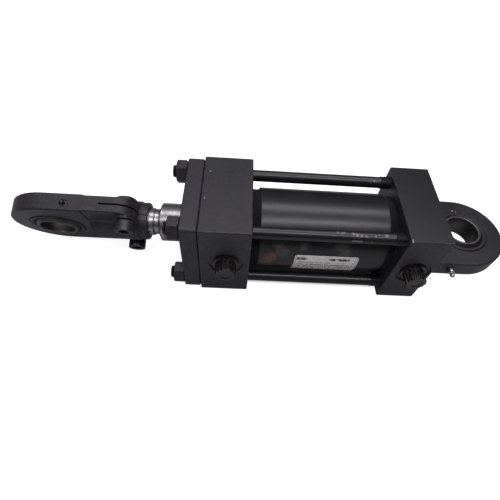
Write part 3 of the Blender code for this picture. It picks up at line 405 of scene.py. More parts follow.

# %% [markdown]
# ## Black paint
# The steel parts wear a thin satin black paint. It could be one dark colour, but the real one reads as a
# living grey: spray specks, dust on the faces that look up, edges rubbed to a paler grey, and chips down to
# metal. The recipe also paints light and shade: the paler edges double as a painted highlight, the cap's
# upper faces take a painted shade, and a painted shade darkens the rim round the cap's nipple. One recipe
# with a few amounts serves every painted part, so that they look sprayed from the same can.

# %% Lay the paint's colours over each other
DEEP_BLACK = (0.0125, 0.012, 0.014, 1)
SPRAY_GREY = (0.041, 0.038, 0.048, 1)
DUST_GREY = (0.020, 0.019, 0.025, 1)
PAINTED_SHADE_BLACK = (0.002, 0.002, 0.0025, 1)
RUBBED_AND_LIT_GREY = (0.085, 0.083, 0.088, 1)
BARE_METAL = (0.50, 0.49, 0.47, 1)
SPECK_CLOUDS, MOTTLE_CLOUDS, PATCH_CLOUDS = 1500, 340, 24
EDGE_WIDTH = 0.7 * MM
EDGE_RUB_AND_LIGHT = 0.5
NIPPLE_SHADE_COVER = 0.9


def paint_layers(graph, edges=None, chips=(), chipped=1.0, nipple_shade=(), dust=0.5, film=DUST_GREY):
    """The paint's colour, then masks: dust and painted shade on upper faces, its chips, its patches and its
    specks.
    """
    place = object_place(graph)
    specks = noise(graph, place, SPECK_CLOUDS, 3, 0.65)
    mottle = noise(graph, place, MOTTLE_CLOUDS, 4, 0.7)
    patches = noise(graph, place, PATCH_CLOUDS, 4, 0.6)
    tone = specks.step(0.42, 0.78) * 0.4 + mottle.step(0.36, 0.66) * 0.5 + patches.step(0.4, 0.7) * 0.2
    colour = tone.choose(DEEP_BLACK, SPRAY_GREY)
    dust_and_shade_cover = facing_up(graph) * (0.5 + 0.5 * patches.step(0.3, 0.65)) * (0.6 + 0.7 * mottle) * dust
    colour = dust_and_shade_cover.choose(colour, film)
    damage = specks * 0
    if edges:
        # Rubbed edges, made paler also as a painted highlight along them.
        rubbed_and_lit_edges = box_edges(graph, place, *edges, EDGE_WIDTH) * EDGE_RUB_AND_LIGHT
        colour = rubbed_and_lit_edges.choose(colour, RUBBED_AND_LIT_GREY)
    # A painted shade round the cap's nipple, where it sits in its recess.
    if nipple_shade:
        colour = (blots(graph, place, nipple_shade, 0.3, 300) * NIPPLE_SHADE_COVER).choose(colour, PAINTED_SHADE_BLACK)
    if chips:
        damage = blots(graph, place, chips) * chipped
        colour = damage.choose(colour, BARE_METAL)
    return colour, dust_and_shade_cover, damage, patches, specks


print("black to grey:", DEEP_BLACK[:3], SPRAY_GREY[:3])

# %% [markdown]
# ## One can for five parts
# The plain parts take the recipe as it is. The blocks add their rubbed edges, paler in part as a painted
# edge highlight, and the chips at the places where the real ones have them. The cap's upper faces get a
# dark film of painted shade, since less light falls on them, and that film is smoother than dust. The rod
# eye is forged, with a rim dressed on a grinder, so fine lines run round its rim. They could be engraved in
# the mesh, but a bump from noise that changes quickly only across the rim looks the same at this size.

# %% Grind the rim
GRINDING_CLOUDS = 1400
GRINDING_DRAW = 0.03


def ground_lines(graph, across):
    """Fine lines that run round a rim, from noise that only changes quickly across the rim."""
    place = object_place(graph)
    level = graph.add("ShaderNodeVectorMath", {"operation": "DOT_PRODUCT"}, {0: place, 1: across}, "Value")
    x, y, z = split(graph, place)
    slow = {"X": level, "Y": x * GRINDING_DRAW, "Z": z * GRINDING_DRAW}
    return noise(graph, graph.add("ShaderNodeCombineXYZ", None, slow), GRINDING_CLOUDS, 3, 0.7)


print("the lines are drawn out", round(1 / GRINDING_DRAW), "times")


# %% Spray a part
def paint(name, gloss=0.40, film_gloss=0.15, relief=0.06 * MM, ground=None, shine=0.45, **amounts):
    """A painted finish: its roughness, what dust and the cap's painted shade add to that, its relief and its
    shine.
    """

    def settings(graph):
        colour, dust_and_shade_cover, damage, patches, specks = paint_layers(graph, **amounts)
        if ground:
            lines = ground_lines(graph, ground)
            colour = (lines.step(0.5, 0.75) * 0.3).choose(colour, RUBBED_AND_LIT_GREY)
            specks = specks * 0.5 + lines
        return {
            "Base Color": colour,
            "Roughness": gloss + 0.10 * patches + film_gloss * dust_and_shade_cover + 0.1 * damage,
            "Specular IOR Level": shine,
            "Normal": bump(graph, specks - damage, relief, 0.7),
        }

    return gloss_material(name, settings)


black_paint = paint("black_paint")

# %% Mix the paints with their wear
HEAD_BOX = ((-22.5, -45, 0), (22.5, 45, 90))
HEAD_CHIPS = [(-16.5, 25.1, 90, 0.7), (-19.2, -8.1, 90, 0.8), (22.4, -45, 71, 0.9), (8, -45, 12, 0.5)]
RETAINER_BOX = ((-38, -44, 1), (-22.8, 44, 89))
CAP_BOX = ((153, -45, 0), (190, 45, 90))
CAP_CHIPS = [(153.6, -44.8, 90, 1.3), (171, -45, 89.9, 0.6), (189.8, 12, 90, 0.7), (154, -42.6, 90, 0.7)]
CAP_CHIPS += [(226.4, 25.8, 53.5, 0.9), (229.8, 25.0, 53.5, 0.6)]
# Painted shade round the cap's nipple: a black blot on the rim.
CAP_NIPPLE_SHADE = [(208, -41, 45, 6.5), (206, -40.5, 48, 6.0)]
# The dark film on the cap's upper faces is painted shade, since less light reaches the cap's end.
CAP_TOP_SHADE_BLACK = (0.006, 0.006, 0.008, 1)
ROD_EYE_TURN = 110
RIM_LEAN = math.radians(ROD_EYE_TURN - 90)
RIM_ACROSS = (0, -math.cos(RIM_LEAN), -math.sin(RIM_LEAN))

head_wear_and_edge_light = {"edges": HEAD_BOX, "chips": HEAD_CHIPS, "chipped": 0.45}
head_paint = paint("head_paint", film_gloss=0.05, dust=0.7, **head_wear_and_edge_light)
retainer_paint = paint("retainer_paint", gloss=0.44, film_gloss=-0.05, edges=RETAINER_BOX, dust=0.7)
cap_wear_and_painted_light = {"edges": CAP_BOX, "chips": CAP_CHIPS, "chipped": 0.7, "nipple_shade": CAP_NIPPLE_SHADE}
# Its upper faces take the painted shade film, smoother than the dust on the head.
cap_paint = paint("cap_paint", gloss=0.42, film_gloss=-0.16, dust=0.85, film=CAP_TOP_SHADE_BLACK, **cap_wear_and_painted_light)
forging = {"gloss": 0.34, "shine": 0.38, "relief": 0.10 * MM, "dust": 0.35}
forged_paint = paint("forged_paint", ground=RIM_ACROSS, **forging)

# %% [markdown]
# ## Paint of the tube
# The tube is smoother and glossier than the blocks, so long bands of light run down it. It also carries the
# marks of use: a rust-brown smear near the head and two scuffed patches above the label. Its thinner necks
# lie in a narrow shadow beside the blocks, so they are painted black as shade and made rough. The marks
# are soft blots on the same kind of paint, since a decal would need a picture.

# %% Mix the tube paint
GLOSS_BLACK = (0.0035, 0.0035, 0.004, 1)
GLOSS_GREY = (0.016, 0.016, 0.018, 1)
RUST = (0.17, 0.082, 0.042, 1)
SCUFF_GREY = (0.125, 0.128, 0.115, 1)
RUST_MARKS = [(40, -37, 45, 8.5), (43, -36.6, 50, 7.5), (37, -37.4, 40, 6.0)]
SCUFF_MARKS = [(104, -33.5, 61, 9.0), (108, -35.2, 56, 8.0), (53, -35.5, 55, 10.0)]
SCUFF_MARKS += [(48, -34, 59, 7.0), (70, -33, 60, 6.5)]
# Where the necks' painted shade begins, and where they are black with it.
HEAD_NECK_SHADE = (31 * MM, 30 * MM)
CAP_NECK_SHADE = (144.5 * MM, 145.5 * MM)


def tube_settings(graph):
    place = object_place(graph)
    specks = noise(graph, place, 1100, 3, 0.6)
    drawn = noise(graph, stretched(graph, place, (0.25, 1, 1)), 260, 4, 0.65)
    patches = noise(graph, place, 30, 4, 0.6)
    colour = (specks.step(0.5, 0.8) * 0.5 + patches.step(0.35, 0.7) * 0.3).choose(GLOSS_BLACK, GLOSS_GREY)
    colour = (facing_up(graph) * patches.step(0.35, 0.7) * 0.35).choose(colour, DUST_GREY)
    along = split(graph, place)[0]
    shaded_necks = along.step(*HEAD_NECK_SHADE).most(along.step(*CAP_NECK_SHADE))
    rust = blots(graph, place, RUST_MARKS, 0.2, 300) * specks.step(0.2, 0.6)
    scuff = blots(graph, place, SCUFF_MARKS, 0.1, 300) * specks.step(0.25, 0.7)
    # Painted shade: the necks lie in a narrow shadow beside the blocks, so they are turned black.
    colour = shaded_necks.choose(colour, PAINTED_SHADE_BLACK)
    colour = (rust * 0.8).choose(colour, RUST)
    colour = (scuff * 0.6).choose(colour, SCUFF_GREY)
    return {
        "Base Color": colour,
        "Roughness": 0.25 + 0.10 * patches + 0.06 * drawn + 0.3 * rust.most(scuff) + 0.7 * shaded_necks,
        "Normal": bump(graph, specks * 0.4 + drawn * 0.6, 0.05 * MM, 0.6),
    }


tube_paint = gloss_material("tube_paint", tube_settings)

# %% [markdown]
# ## Paint of the tie rods
# The tie rods are painted like the tube, and the front one has flaked to dull metal where a sling or a hand
# has gone along it. The larger flakes are placed one by one, and fine noise in one zone breaks the paint
# between them. Noise alone would put them anywhere.

# %% Mix the tie rod paint
WORN_METAL = (0.17, 0.165, 0.165, 1)
FLAKES = [(94.2, -34, 84.3, 1.1), (97.4, -34.1, 84.3, 1.2), (99.4, -34.1, 84.3, 1.3)]
FLAKES += [(107.3, -34.8, 84.3, 1.5), (110.5, -35.7, 84.1, 1.8), (114.4, -35.9, 84, 1.6)]
FLAKES += [(118.5, -36.2, 83.8, 1.3), (126.4, -36, 83.9, 1.0), (135.9, -34.8, 84.3, 1.9)]
FLAKES += [(137.5, 31, 83.4, 1.2), (134, 29.6, 82, 0.7), (124, -39.3, 79.5, 0.9)]
FLAKES += [(along, -39.3, 80, 1.3) for along in (107.5, 109.2, 111, 112.8, 114.5)]
# The zone on the front rod's upper side: where fine flaking begins, and where it is full.
SCUFFED_AFTER = (84 * MM, 104 * MM)
SCUFFED_BEFORE = (150 * MM, 140 * MM)
SCUFFED_OUT = (-32.5 * MM, -34.5 * MM)
SCUFFED_UP = (81.5 * MM, 83.5 * MM)


def tie_rod_settings(graph):
    place = object_place(graph)
    x, y, z = split(graph, place)
    specks = noise(graph, place, 1300, 3, 0.65)
    patches = noise(graph, place, 60, 4, 0.6)
    colour = (specks.step(0.45, 0.8) * 0.4 + facing_up(graph) * 0.1).choose(GLOSS_BLACK, SPRAY_GREY)
    zone = x.step(*SCUFFED_AFTER) * x.step(*SCUFFED_BEFORE) * y.step(*SCUFFED_OUT) * z.step(*SCUFFED_UP)
    flaked = noise(graph, stretched(graph, place, (0.8, 1, 1)), 620, 3, 0.75).step(0.60, 0.68) * zone
    flaked = flaked.most(blots(graph, place, FLAKES, 0.6, 500))
    return {
        "Base Color": flaked.choose(colour, WORN_METAL),
        "Metallic": flaked * 0.4,
        "Roughness": 0.27 + 0.12 * patches + 0.2 * flaked,
        "Normal": bump(graph, specks - flaked, 0.05 * MM, 0.7),
    }


tie_rod_paint = gloss_material("tie_rod_paint", tie_rod_settings)

# %% [markdown]
# ## Bare and plated metals
# Bright metal shows how it was made. The rod is ground round and round, so its fine marks run round it, and
# grease and fingerprints cloud it. Bearings are oiled and dull, the cap's nipple is zinc plated and the rod
# eye's is dirty, screws are blackened. One recipe draws the noise out along the direction of the tool, then
# tints, dulls and roughens by it.

# %% Mix the metals
STAIN = 0.6
TOOL_STAIN = 0.3
DULLING = 0.25


def metal(name, clean, stained, factors=(1, 1, 1), fine=2600, slow=60, polish=0.2, metallic=1.0):
    """A metal: its clean and stained colours, and how far and how finely its tool marks and clouds run."""

    def settings(graph):
        place = object_place(graph)
        lines = noise(graph, stretched(graph, place, factors), fine, 2, 0.6)
        clouds = noise(graph, place, slow, 4, 0.6)
        soiled = clouds.step(0.42, 0.72) * STAIN + lines.step(0.5, 0.9) * TOOL_STAIN
        return {
            "Base Color": soiled.choose((*clean, 1), (*stained, 1)),
            "Metallic": metallic - 0.25 * clouds.step(0.5, 0.8) * metallic,
            "Roughness": polish + DULLING * (0.6 * clouds + 0.4 * lines),
            "Normal": bump(graph, lines, 0.03 * MM, 0.5),
        }

    return gloss_material(name, settings)


ROUND_THE_ROD = (1, 0.05, 0.05)
SCREW_BLACK, SCREW_SOILED = (0.055, 0.056, 0.062), (0.020, 0.018, 0.017)
rod_chrome = metal("rod_chrome", (0.36, 0.36, 0.38), (0.20, 0.16, 0.12), factors=ROUND_THE_ROD, slow=120)
bearing_steel = metal("bearing_steel", (0.03, 0.03, 0.034), (0.018, 0.016, 0.017), polish=0.34, metallic=0.5)
ball_steel = metal("ball_steel", (0.13, 0.126, 0.124), (0.060, 0.055, 0.052), polish=0.27, metallic=0.9)
nipple_zinc = metal("nipple_zinc", (0.44, 0.44, 0.46), (0.15, 0.13, 0.11), fine=1800, slow=400, polish=0.22)
nipple_dull = metal("nipple_dull", (0.06, 0.055, 0.06), (0.075, 0.04, 0.04), fine=1800, slow=500, polish=0.35)
dark_steel = metal("dark_steel", SCREW_BLACK, SCREW_SOILED, slow=150, polish=0.30, metallic=0.6)
inner_iron = metal("inner_iron", (0.20, 0.20, 0.20), (0.09, 0.075, 0.06), fine=900, polish=0.38, metallic=0.8)

# %% [markdown]
# ## Rubber, plastic and the inner seals
# Seals, wiper and O-rings are moulded rubber and filled plastic: matt, faintly mottled, with a soft skin.
# The transit plugs are hard black plastic with a shine of their own and a brownish cast where they are
# worn. One recipe with a colour, a roughness and a grain covers them all, since a mould leaves the same
# kind of skin.


# %% Mix the polymers
def polymer(name, base, mottled, gloss, grain=900, relief=0.04 * MM):
    """A moulded finish: its colour, the colour of its mottling, its roughness, and the grain of its skin."""

    def settings(graph):
        place = object_place(graph)
        skin = noise(graph, place, grain, 3, 0.6)
        clouds = noise(graph, place, 90, 3, 0.6)
        tone = skin.step(0.4, 0.8) * 0.5 + clouds.step(0.4, 0.75) * 0.5
        return {
            "Base Color": tone.choose((*base, 1), (*mottled, 1)),
            "Roughness": gloss + 0.18 * clouds,
            "Normal": bump(graph, skin, relief, 0.6),
        }

    return gloss_material(name, settings)


seal_polymer = polymer("seal_polymer", (0.020, 0.035, 0.060), (0.030, 0.050, 0.075), 0.42)
o_ring_rubber = polymer("o_ring_rubber", (0.010, 0.010, 0.010), (0.020, 0.020, 0.020), 0.50)
PLUG_BLACK, PLUG_BROWN = (0.006, 0.0055, 0.0055), (0.022, 0.014, 0.013)
plug_plastic = polymer("plug_plastic", PLUG_BLACK, PLUG_BROWN, 0.20, grain=500, relief=0.08 * MM)

# %% [markdown]
# ## The label
# The name plate is thin metal foil, greyed by handling. A painted picture could carry its marks, but a rule
# stays sharp from near and far: a line along each end, two dark bars, and rows that a coarse noise breaks
# into dashes. The rows are cut from the distance round the tube, so they follow the bend of the plate.

# %% Mix the label foil
AXIS_HEIGHT = 45 * MM
PLATE_FROM, PLATE_TO = 63, 121.5
LABEL_TOP, LABEL_FOOT = math.radians(12.4), math.radians(-38)
LABEL_ROWS = 9
HEADING = (0.07, 0.08), (0.175, 0.165)
FOIL_CLEAN = (0.78, 0.77, 0.75, 1)
FOIL_GREY = (0.36, 0.34, 0.32, 1)
INK = (0.03, 0.03, 0.03, 1)


def label_settings(graph):
    """Places on the plate run from 0 to 1, along it and down it, and its rows are counted from the top."""
    place = object_place(graph)
    x, y, z = split(graph, place)
    along = (x - PLATE_FROM * MM) / ((PLATE_TO - PLATE_FROM) * MM)
    off_middle = abs(along - 0.5)
    angle = (z - AXIS_HEIGHT).math("ARCTAN2", y * -1)
    down = (LABEL_TOP - angle) / (LABEL_TOP - LABEL_FOOT)
    row = down * LABEL_ROWS
    within = abs(row.math("FRACT") - 0.5).step(0.30, 0.18)
    number = row.math("FLOOR")
    cells = graph.add("ShaderNodeCombineXYZ", None, {"X": along * 26, "Y": number * 3.7, "Z": 0.0})
    dashes = noise(graph, cells, 1.0, 1, 0.5).step(0.38, 0.45)
    body_rows = number.step(1.5, 2.5) * number.step(7.6, 7.4)
    ink = within * dashes * body_rows * off_middle.step(0.455, 0.44) * 0.85
    border = off_middle.step(0.474, 0.480) * off_middle.step(0.488, 0.482)
    heading = down.step(*HEADING[0]) * down.step(*HEADING[1])
    bars = abs(along - 0.115).step(0.085, 0.08).most(abs(along - 0.70).step(0.17, 0.16) * dashes)
    ink = ink.most(border * 0.5).most(heading * bars * 0.95)
    wear = noise(graph, place, 220, 4, 0.65)
    grime = wear.step(0.45, 0.75) * 0.5 + off_middle.step(0.40, 0.5) * 0.25
    foil = grime.choose(FOIL_CLEAN, FOIL_GREY)
    return {
        "Base Color": (ink * wear.step(0.25, 0.5)).choose(foil, INK),
        "Metallic": 0.25 - 0.2 * wear,
        "Roughness": 0.42 + 0.25 * wear,
        "Normal": bump(graph, wear, 0.08 * MM, 0.5),
    }


label_foil = gloss_material("label_foil", label_settings)

# %% [markdown]
# ## Finishes for all solids
# Every solid gets the finish of its slot, also the ones that are hidden inside. Pieces that are made later
# bring their own. The slots could be filled by hand in the editor, but the record already names one for
# each solid, so a loop can't miss any.

# %% Give each solid its finish
FINISHES = {"black_paint": black_paint, "tube_paint": tube_paint, "label_foil": label_foil}
FINISHES.update({"rod_chrome": rod_chrome, "bearing_steel": bearing_steel, "dark_steel": dark_steel})
FINISHES.update({"nipple_zinc": nipple_zinc, "inner_iron": inner_iron, "seal_polymer": seal_polymer})
FINISHES.update({"o_ring_rubber": o_ring_rubber, "plug_plastic": plug_plastic})
SLOT_OF = {part["node"]: part["material_slot"] for part in frame["record"]["subparts"]}
for name, node in frame["nodes"].items():
    for slot in node.material_slots:
        slot.material = FINISHES[SLOT_OF[name]]
print("finishes:", len(FINISHES), "solids:", len(SLOT_OF))

# %% [markdown]
# ## A lathe, a thread cutter and a mill in one tree
# Most pieces here are turned: tube, rod, tie rods, nuts, rings, screws. A mesh primitive would give the
# plain round, and every groove would then be pushed in by hand. A tree that works in the order of a
# workshop is nearer to the real thing: it sweeps the half section round a circle, cuts a thread where one
# is asked for, and mills flats by pulling every point back to the flat that it stands out of. A nut's
# curved chamfers come by themselves.


# %% Begin and end a tree of shapes
def new_shape_tree(name, sizes):
    """A Geometry Nodes tree with a mesh in, a mesh out, and a named input with a value for each size."""
    tree = bpy.data.node_groups.new(name, "GeometryNodeTree")
    tree.interface.new_socket("Geometry", in_out="INPUT", socket_type="NodeSocketGeometry")
    for label, value in sizes.items():
        kind = "Int" if isinstance(value, int) else "Float"
        size = tree.interface.new_socket(label, in_out="INPUT", socket_type="NodeSocket" + kind)
        size.default_value = value
    tree.interface.new_socket("Material", in_out="INPUT", socket_type="NodeSocketMaterial")
    tree.interface.new_socket("Geometry", in_out="OUTPUT", socket_type="NodeSocketGeometry")
    graph = Graph(tree)
    return tree, graph, graph.add("NodeGroupInput", output="Geometry")


def end_shape_tree(graph, shape, material):
    """Makes copies real, gives the material, and ends the tree."""
    real = graph.add("GeometryNodeRealizeInstances", None, {"Geometry": shape})
    painted = graph.add("GeometryNodeSetMaterial", None, {"Geometry": real, "Material": material})
    graph.add("NodeGroupOutput", None, {"Geometry": painted})


print("helper:", new_shape_tree.__doc__)

# %% Build the workshop tree
# The section is swept round a circle of one metre, so its points are measured back from there.
SWEEP_RADIUS = 1.0
MERGE_DISTANCE = 1e-6
RIB_VALLEY = (0.35, -0.55)


def workshop_tree():
    """Turns a half section, then presses ribs, cuts a thread and mills flats; unless told, it only turns."""
    sizes = {"Sides": 32, "Flats": 6, "Across Flats": 1.0, "Mill Up To": 1.0}
    sizes.update({"Thread From": 0.0, "Thread To": 0.0, "Thread Above": 0.0})
    sizes.update({"Pitch": 1.0, "Thread Depth": 0.0})
    sizes.update({"Ribs": 1, "Rib Depth": 0.0, "Rib From": 0.0, "Rib To": 0.0, "Rib Above": 0.0})
    tree, graph, start = new_shape_tree("workshop", sizes)
    section = graph.add("GeometryNodeMeshToCurve", None, {"Mesh": start})
    circle = {"Resolution": start.other("Sides"), "Radius": SWEEP_RADIUS}
    way = graph.add("GeometryNodeCurvePrimitiveCircle", None, circle)
    swept = graph.add("GeometryNodeCurveToMesh", None, {"Curve": way, "Profile Curve": section})
    blank = graph.add("GeometryNodeMergeByDistance", None, {"Geometry": swept, "Distance": MERGE_DISTANCE})
    where = graph.add("GeometryNodeInputPosition")
    x = graph.add("ShaderNodeSeparateXYZ", None, {0: where}, "X")
    y = x.other("Y")
    along = x.other("Z")
    radius = (x * x + y * y).math("SQRT")
    angle = y.math("ARCTAN2", x)
    ridge = abs((along / start.other("Pitch") - angle / (2 * math.pi)).math("FRACT") * 2 - 1)
    inside = along.math("GREATER_THAN", start.other("Thread From"))
    inside = inside * along.math("LESS_THAN", start.other("Thread To"))
    inside = inside * radius.math("GREATER_THAN", start.other("Thread Above"))
    groove = (angle * start.other("Ribs")).math("COSINE").step(*RIB_VALLEY)
    ribbed = along.math("GREATER_THAN", start.other("Rib From"))
    ribbed = ribbed * along.math("LESS_THAN", start.other("Rib To"))
    ribbed = ribbed * radius.math("GREATER_THAN", start.other("Rib Above"))
    cut = radius - ridge * start.other("Thread Depth") * inside - groove * start.other("Rib Depth") * ribbed
    wedge = 2 * math.pi / start.other("Flats")
    lean = angle.math("FLOORED_MODULO", wedge) - wedge / 2
    flat = start.other("Across Flats") / 2 / lean.math("COSINE")
    beyond = radius.math("GREATER_THAN", start.other("Mill Up To"))
    milled = cut.least(flat + beyond)
    share = milled / radius.most(MERGE_DISTANCE)
    put = graph.add("ShaderNodeCombineXYZ", None, {"X": x * share, "Y": y * share, "Z": along})
    shaped = graph.add("GeometryNodeSetPosition", None, {"Geometry": blank, "Position": put})
    end_shape_tree(graph, shaped, start.other("Material"))
    return tree


WORKSHOP = workshop_tree()
print("workshop nodes:", len(WORKSHOP.nodes))

# %% [markdown]
# ## Running a tree and keeping the result
# A tree runs as a modifier. The finished part has to be a plain mesh, so the evaluated mesh is taken off
# the modifier at once. Applying the modifier by its button would give the same mesh, but needs a selected
# object.


# %% Run a tree
def new_object(name, mesh):
    """An object for a mesh, at the origin."""
    made = bpy.data.objects.new(name, mesh)
    bpy.context.scene.collection.objects.link(made)
    return made


def run_tree(name, tree, mesh, values):
    """The mesh that a tree makes of a mesh, with its inputs set by their identifiers."""
    worker = new_object(name, mesh)
    modifier = worker.modifiers.new(name, "NODES")
    modifier.node_group = tree
    for socket in tree.interface.items_tree:
        if socket.in_out == "INPUT" and socket.name in values:
            modifier[socket.identifier] = values[socket.name]
    bpy.context.view_layer.update()
    depsgraph = bpy.context.evaluated_depsgraph_get()
    made = bpy.data.meshes.new_from_object(worker.evaluated_get(depsgraph))
    worker.modifiers.remove(modifier)
    bpy.data.objects.remove(worker)
    return made


print("workshop sockets:", len(WORKSHOP.interface.items_tree))

# %% [markdown]
# ## Half sections
# A turned part is drawn as half of its section, as on a workshop drawing: along the axis, and out from it.
# A real corner is never sharp, so each one gets the small rounding that catches the light. A bevel on the
# finished mesh would work too, but would also round the facets. A stretch that carries a thread needs many
# points, and only there.

# %% Round a half section
NEARLY_STRAIGHT = math.radians(165)
# A rounding takes at most this share of the sides that it joins.
CORNER_SHARE = 0.45
TOUCHING = 1e-6


def softened(points, radius, closed, steps=3):
    """The same outline with its corners rounded off."""
    result = []
    for index, point in enumerate(points):
        here = Vector(point)
        before = Vector(points[index - 1]) - here
        after = Vector(points[(index + 1) % len(points)]) - here
        end_point = not closed and index in (0, len(points) - 1)
        if end_point or min(before.length, after.length) < TOUCHING:
            result.append(here)
            continue
        opening = before.angle(after)
        if opening > NEARLY_STRAIGHT:
            result.append(here)
            continue
        reach = radius / math.tan(opening / 2)
        reach = min(reach, CORNER_SHARE * before.length, CORNER_SHARE * after.length)
        first = here + before.normalized() * reach
        last = here + after.normalized() * reach
        for step in range(steps + 1):
            share = step / steps
            result.append(first.lerp(here, share).lerp(here.lerp(last, share), share))
    return result


square = [(0, 0), (1, 0), (1, 1), (0, 1)]
print("a softened square has", len(softened(square, 0.2, True)), "points")

# %% Divide a half section
SAME_PLACE = 1e-9


def divided(points, start, end, spacing):
    """The same outline with extra points between two places along it, for a thread to shape."""
    result = [points[0]]
    for before, after in zip(points, points[1:]):
        inside = before[0] >= start - SAME_PLACE and after[0] <= end + SAME_PLACE
        if inside and abs(after[1] - before[1]) < SAME_PLACE:
            count = max(1, round((after[0] - before[0]) / spacing))
            for step in range(1, count):
                result.append(Vector(before).lerp(Vector(after), step / count))
        result.append(after)
    return result


print("a divided metre has", len(divided([(0, 1), (1, 1)], 0, 1, 0.1)), "points")

# %% [markdown]
# ## Turning a piece, and letting it stand for its solid
# A turned piece is made in millimetres, put in its place by a matrix that goes into its mesh, and then
# shown instead of its solid, on the same moving body. Its object could carry the place instead, but
# patterns on it would then slide.

# %% Turn a piece
# How many sides a round gets, from the tube down to the thin rods.
FINE_SIDES, PLAIN_SIDES, SMALL_SIDES, THIN_SIDES = 128, 96, 48, 32
# A lathe turns about its own Z. These lay that axis along X, or point it at the camera's side.
ALONG_X = Matrix(((0, 0, 1, 0), (1, 0, 0, 0), (0, 1, 0, 0), (0, 0, 0, 1)))
TOWARDS_FRONT = Matrix(((1, 0, 0, 0), (0, 0, -1, 0), (0, 1, 0, 0), (0, 0, 0, 1)))


def turned(name, points, closed, sides, material, placing, **work):
    """Turns (along, radius) points in millimetres, threads and mills them, and puts the piece in place."""
    count = len(points)
    edges = [(i, i + 1) for i in range(count - 1)] + ([(count - 1, 0)] if closed else [])
    section = bpy.data.meshes.new(name)
    section.from_pydata([(r * MM - SWEEP_RADIUS, -a * MM, 0) for a, r in points], edges, [])
    made = run_tree(name, WORKSHOP, section, {"Sides": sides, "Material": material, **work})
    made.transform(placing)
    return made


print("helper:", turned.__doc__)

# %% Let a piece stand for its solid
SMOOTH_ANGLE = math.radians(32)
BODY_OF = {}
for body, members in frame["record"]["behaviour"]["bodies"].items():
    BODY_OF.update(dict.fromkeys(members, body))


def finish_mesh(mesh):
    """Faces outwards, smooth shading, and real edges kept sharp."""
    build = bmesh.new()
    build.from_mesh(mesh)
    bmesh.ops.recalc_face_normals(build, faces=build.faces)
    build.to_mesh(mesh)
    build.free()
    mesh.shade_smooth()
    mesh.set_sharp_from_angle(angle=SMOOTH_ANGLE)
    return mesh


def stand_for(name, mesh, slot, *nodes):
    """The mesh becomes a piece that rides where its solids ride and is shown in their place."""
    piece = new_object(name, finish_mesh(mesh))
    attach(piece, BODY_OF[nodes[0]])
    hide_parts(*nodes)
    print(name, "faces:", len(mesh.polygons))
    return piece


print("bodies:", sorted(set(BODY_OF.values())))

# %% [markdown]
# ## The tube
# The tube is the main round piece, and its shape follows one rule all the way: a half section turned about
# the axis. It is thinner at both ends, where it enters the blocks. The workshop tree turns it with enough
# sides for a clean outline, and each corner of the section gets the small rounding that catches the light.

# %% Turn the tube
AXIS = Matrix.Translation((0, 0, AXIS_HEIGHT)) @ ALONG_X
TUBE_SECTION = [(14.8, 35.5), (28.5, 35.5), (30.5, 37.5), (145, 37.5), (147, 35.5), (160.7, 35.5)]
TUBE_SECTION += [(160.7, 31.5), (14.8, 31.5)]
section = softened(TUBE_SECTION, 0.5, True)
tube_mesh = turned("tube", section, True, FINE_SIDES, tube_paint, AXIS)
stand_for("tube", tube_mesh, "tube_paint", "barrel_tube")

# %% [markdown]
# ## The name plate
# The label is a thin plate bent round the tube. A shrinkwrapped plane would do, but it is as easy to cut
# the flat plate with its round corners, divide it across, thicken it, and roll every point round the tube's
# axis.

# %% Cut the flat plate
PLATE_RADIUS = 37.8
PLATE_THICKNESS = 0.5 * MM
PLATE_CORNER = 2.2
PLATE_STRIPS = 28
low = LABEL_FOOT * PLATE_RADIUS
high = LABEL_TOP * PLATE_RADIUS
corners = [(PLATE_FROM, low), (PLATE_TO, low), (PLATE_TO, high), (PLATE_FROM, high)]
build = bmesh.new()
outline = softened(corners, PLATE_CORNER, True, 5)
build.faces.new([build.verts.new((x * MM, s * MM, 0)) for x, s in outline])
for strip in range(1, PLATE_STRIPS):
    level = (low + (high - low) * strip / PLATE_STRIPS) * MM
    geometry = build.verts[:] + build.edges[:] + build.faces[:]
    bmesh.ops.bisect_plane(build, geom=geometry, plane_co=(0, level, 0), plane_no=(0, 1, 0))
print("plate, flat:", PLATE_TO - PLATE_FROM, "x", round(high - low, 1), "mm")

# %% Thicken it and roll it
raised = bmesh.ops.extrude_face_region(build, geom=build.faces[:], use_keep_orig=True)["geom"]
for vertex in raised:
    if isinstance(vertex, bmesh.types.BMVert):
        vertex.co.z = PLATE_THICKNESS
for vertex in build.verts:
    turned_by = vertex.co.y / (PLATE_RADIUS * MM)
    reach = PLATE_RADIUS * MM + vertex.co.z
    round_the_axis = (-reach * math.cos(turned_by), AXIS_HEIGHT + reach * math.sin(turned_by))
    vertex.co = (vertex.co.x, *round_the_axis)
plate_mesh = bpy.data.meshes.new("name_plate")
build.to_mesh(plate_mesh)
build.free()
plate_mesh.materials.append(label_foil)
stand_for("name_plate", plate_mesh, "label_foil", "name_label")

# %% [markdown]
# ## The rod
# The bright rod ends in a cone, an undercut and a metric thread with 2 mm pitch, which the rod eye is
# screwed and clamped on. Only a few centimetres of it show at rest, but the thread's crests are what the
# eye looks for there. A thread could be a helix swept round the rod. Here the lathe's tree pulls the points
# of the turned rod inwards by a rule of angle and length, so that nothing has to be joined.

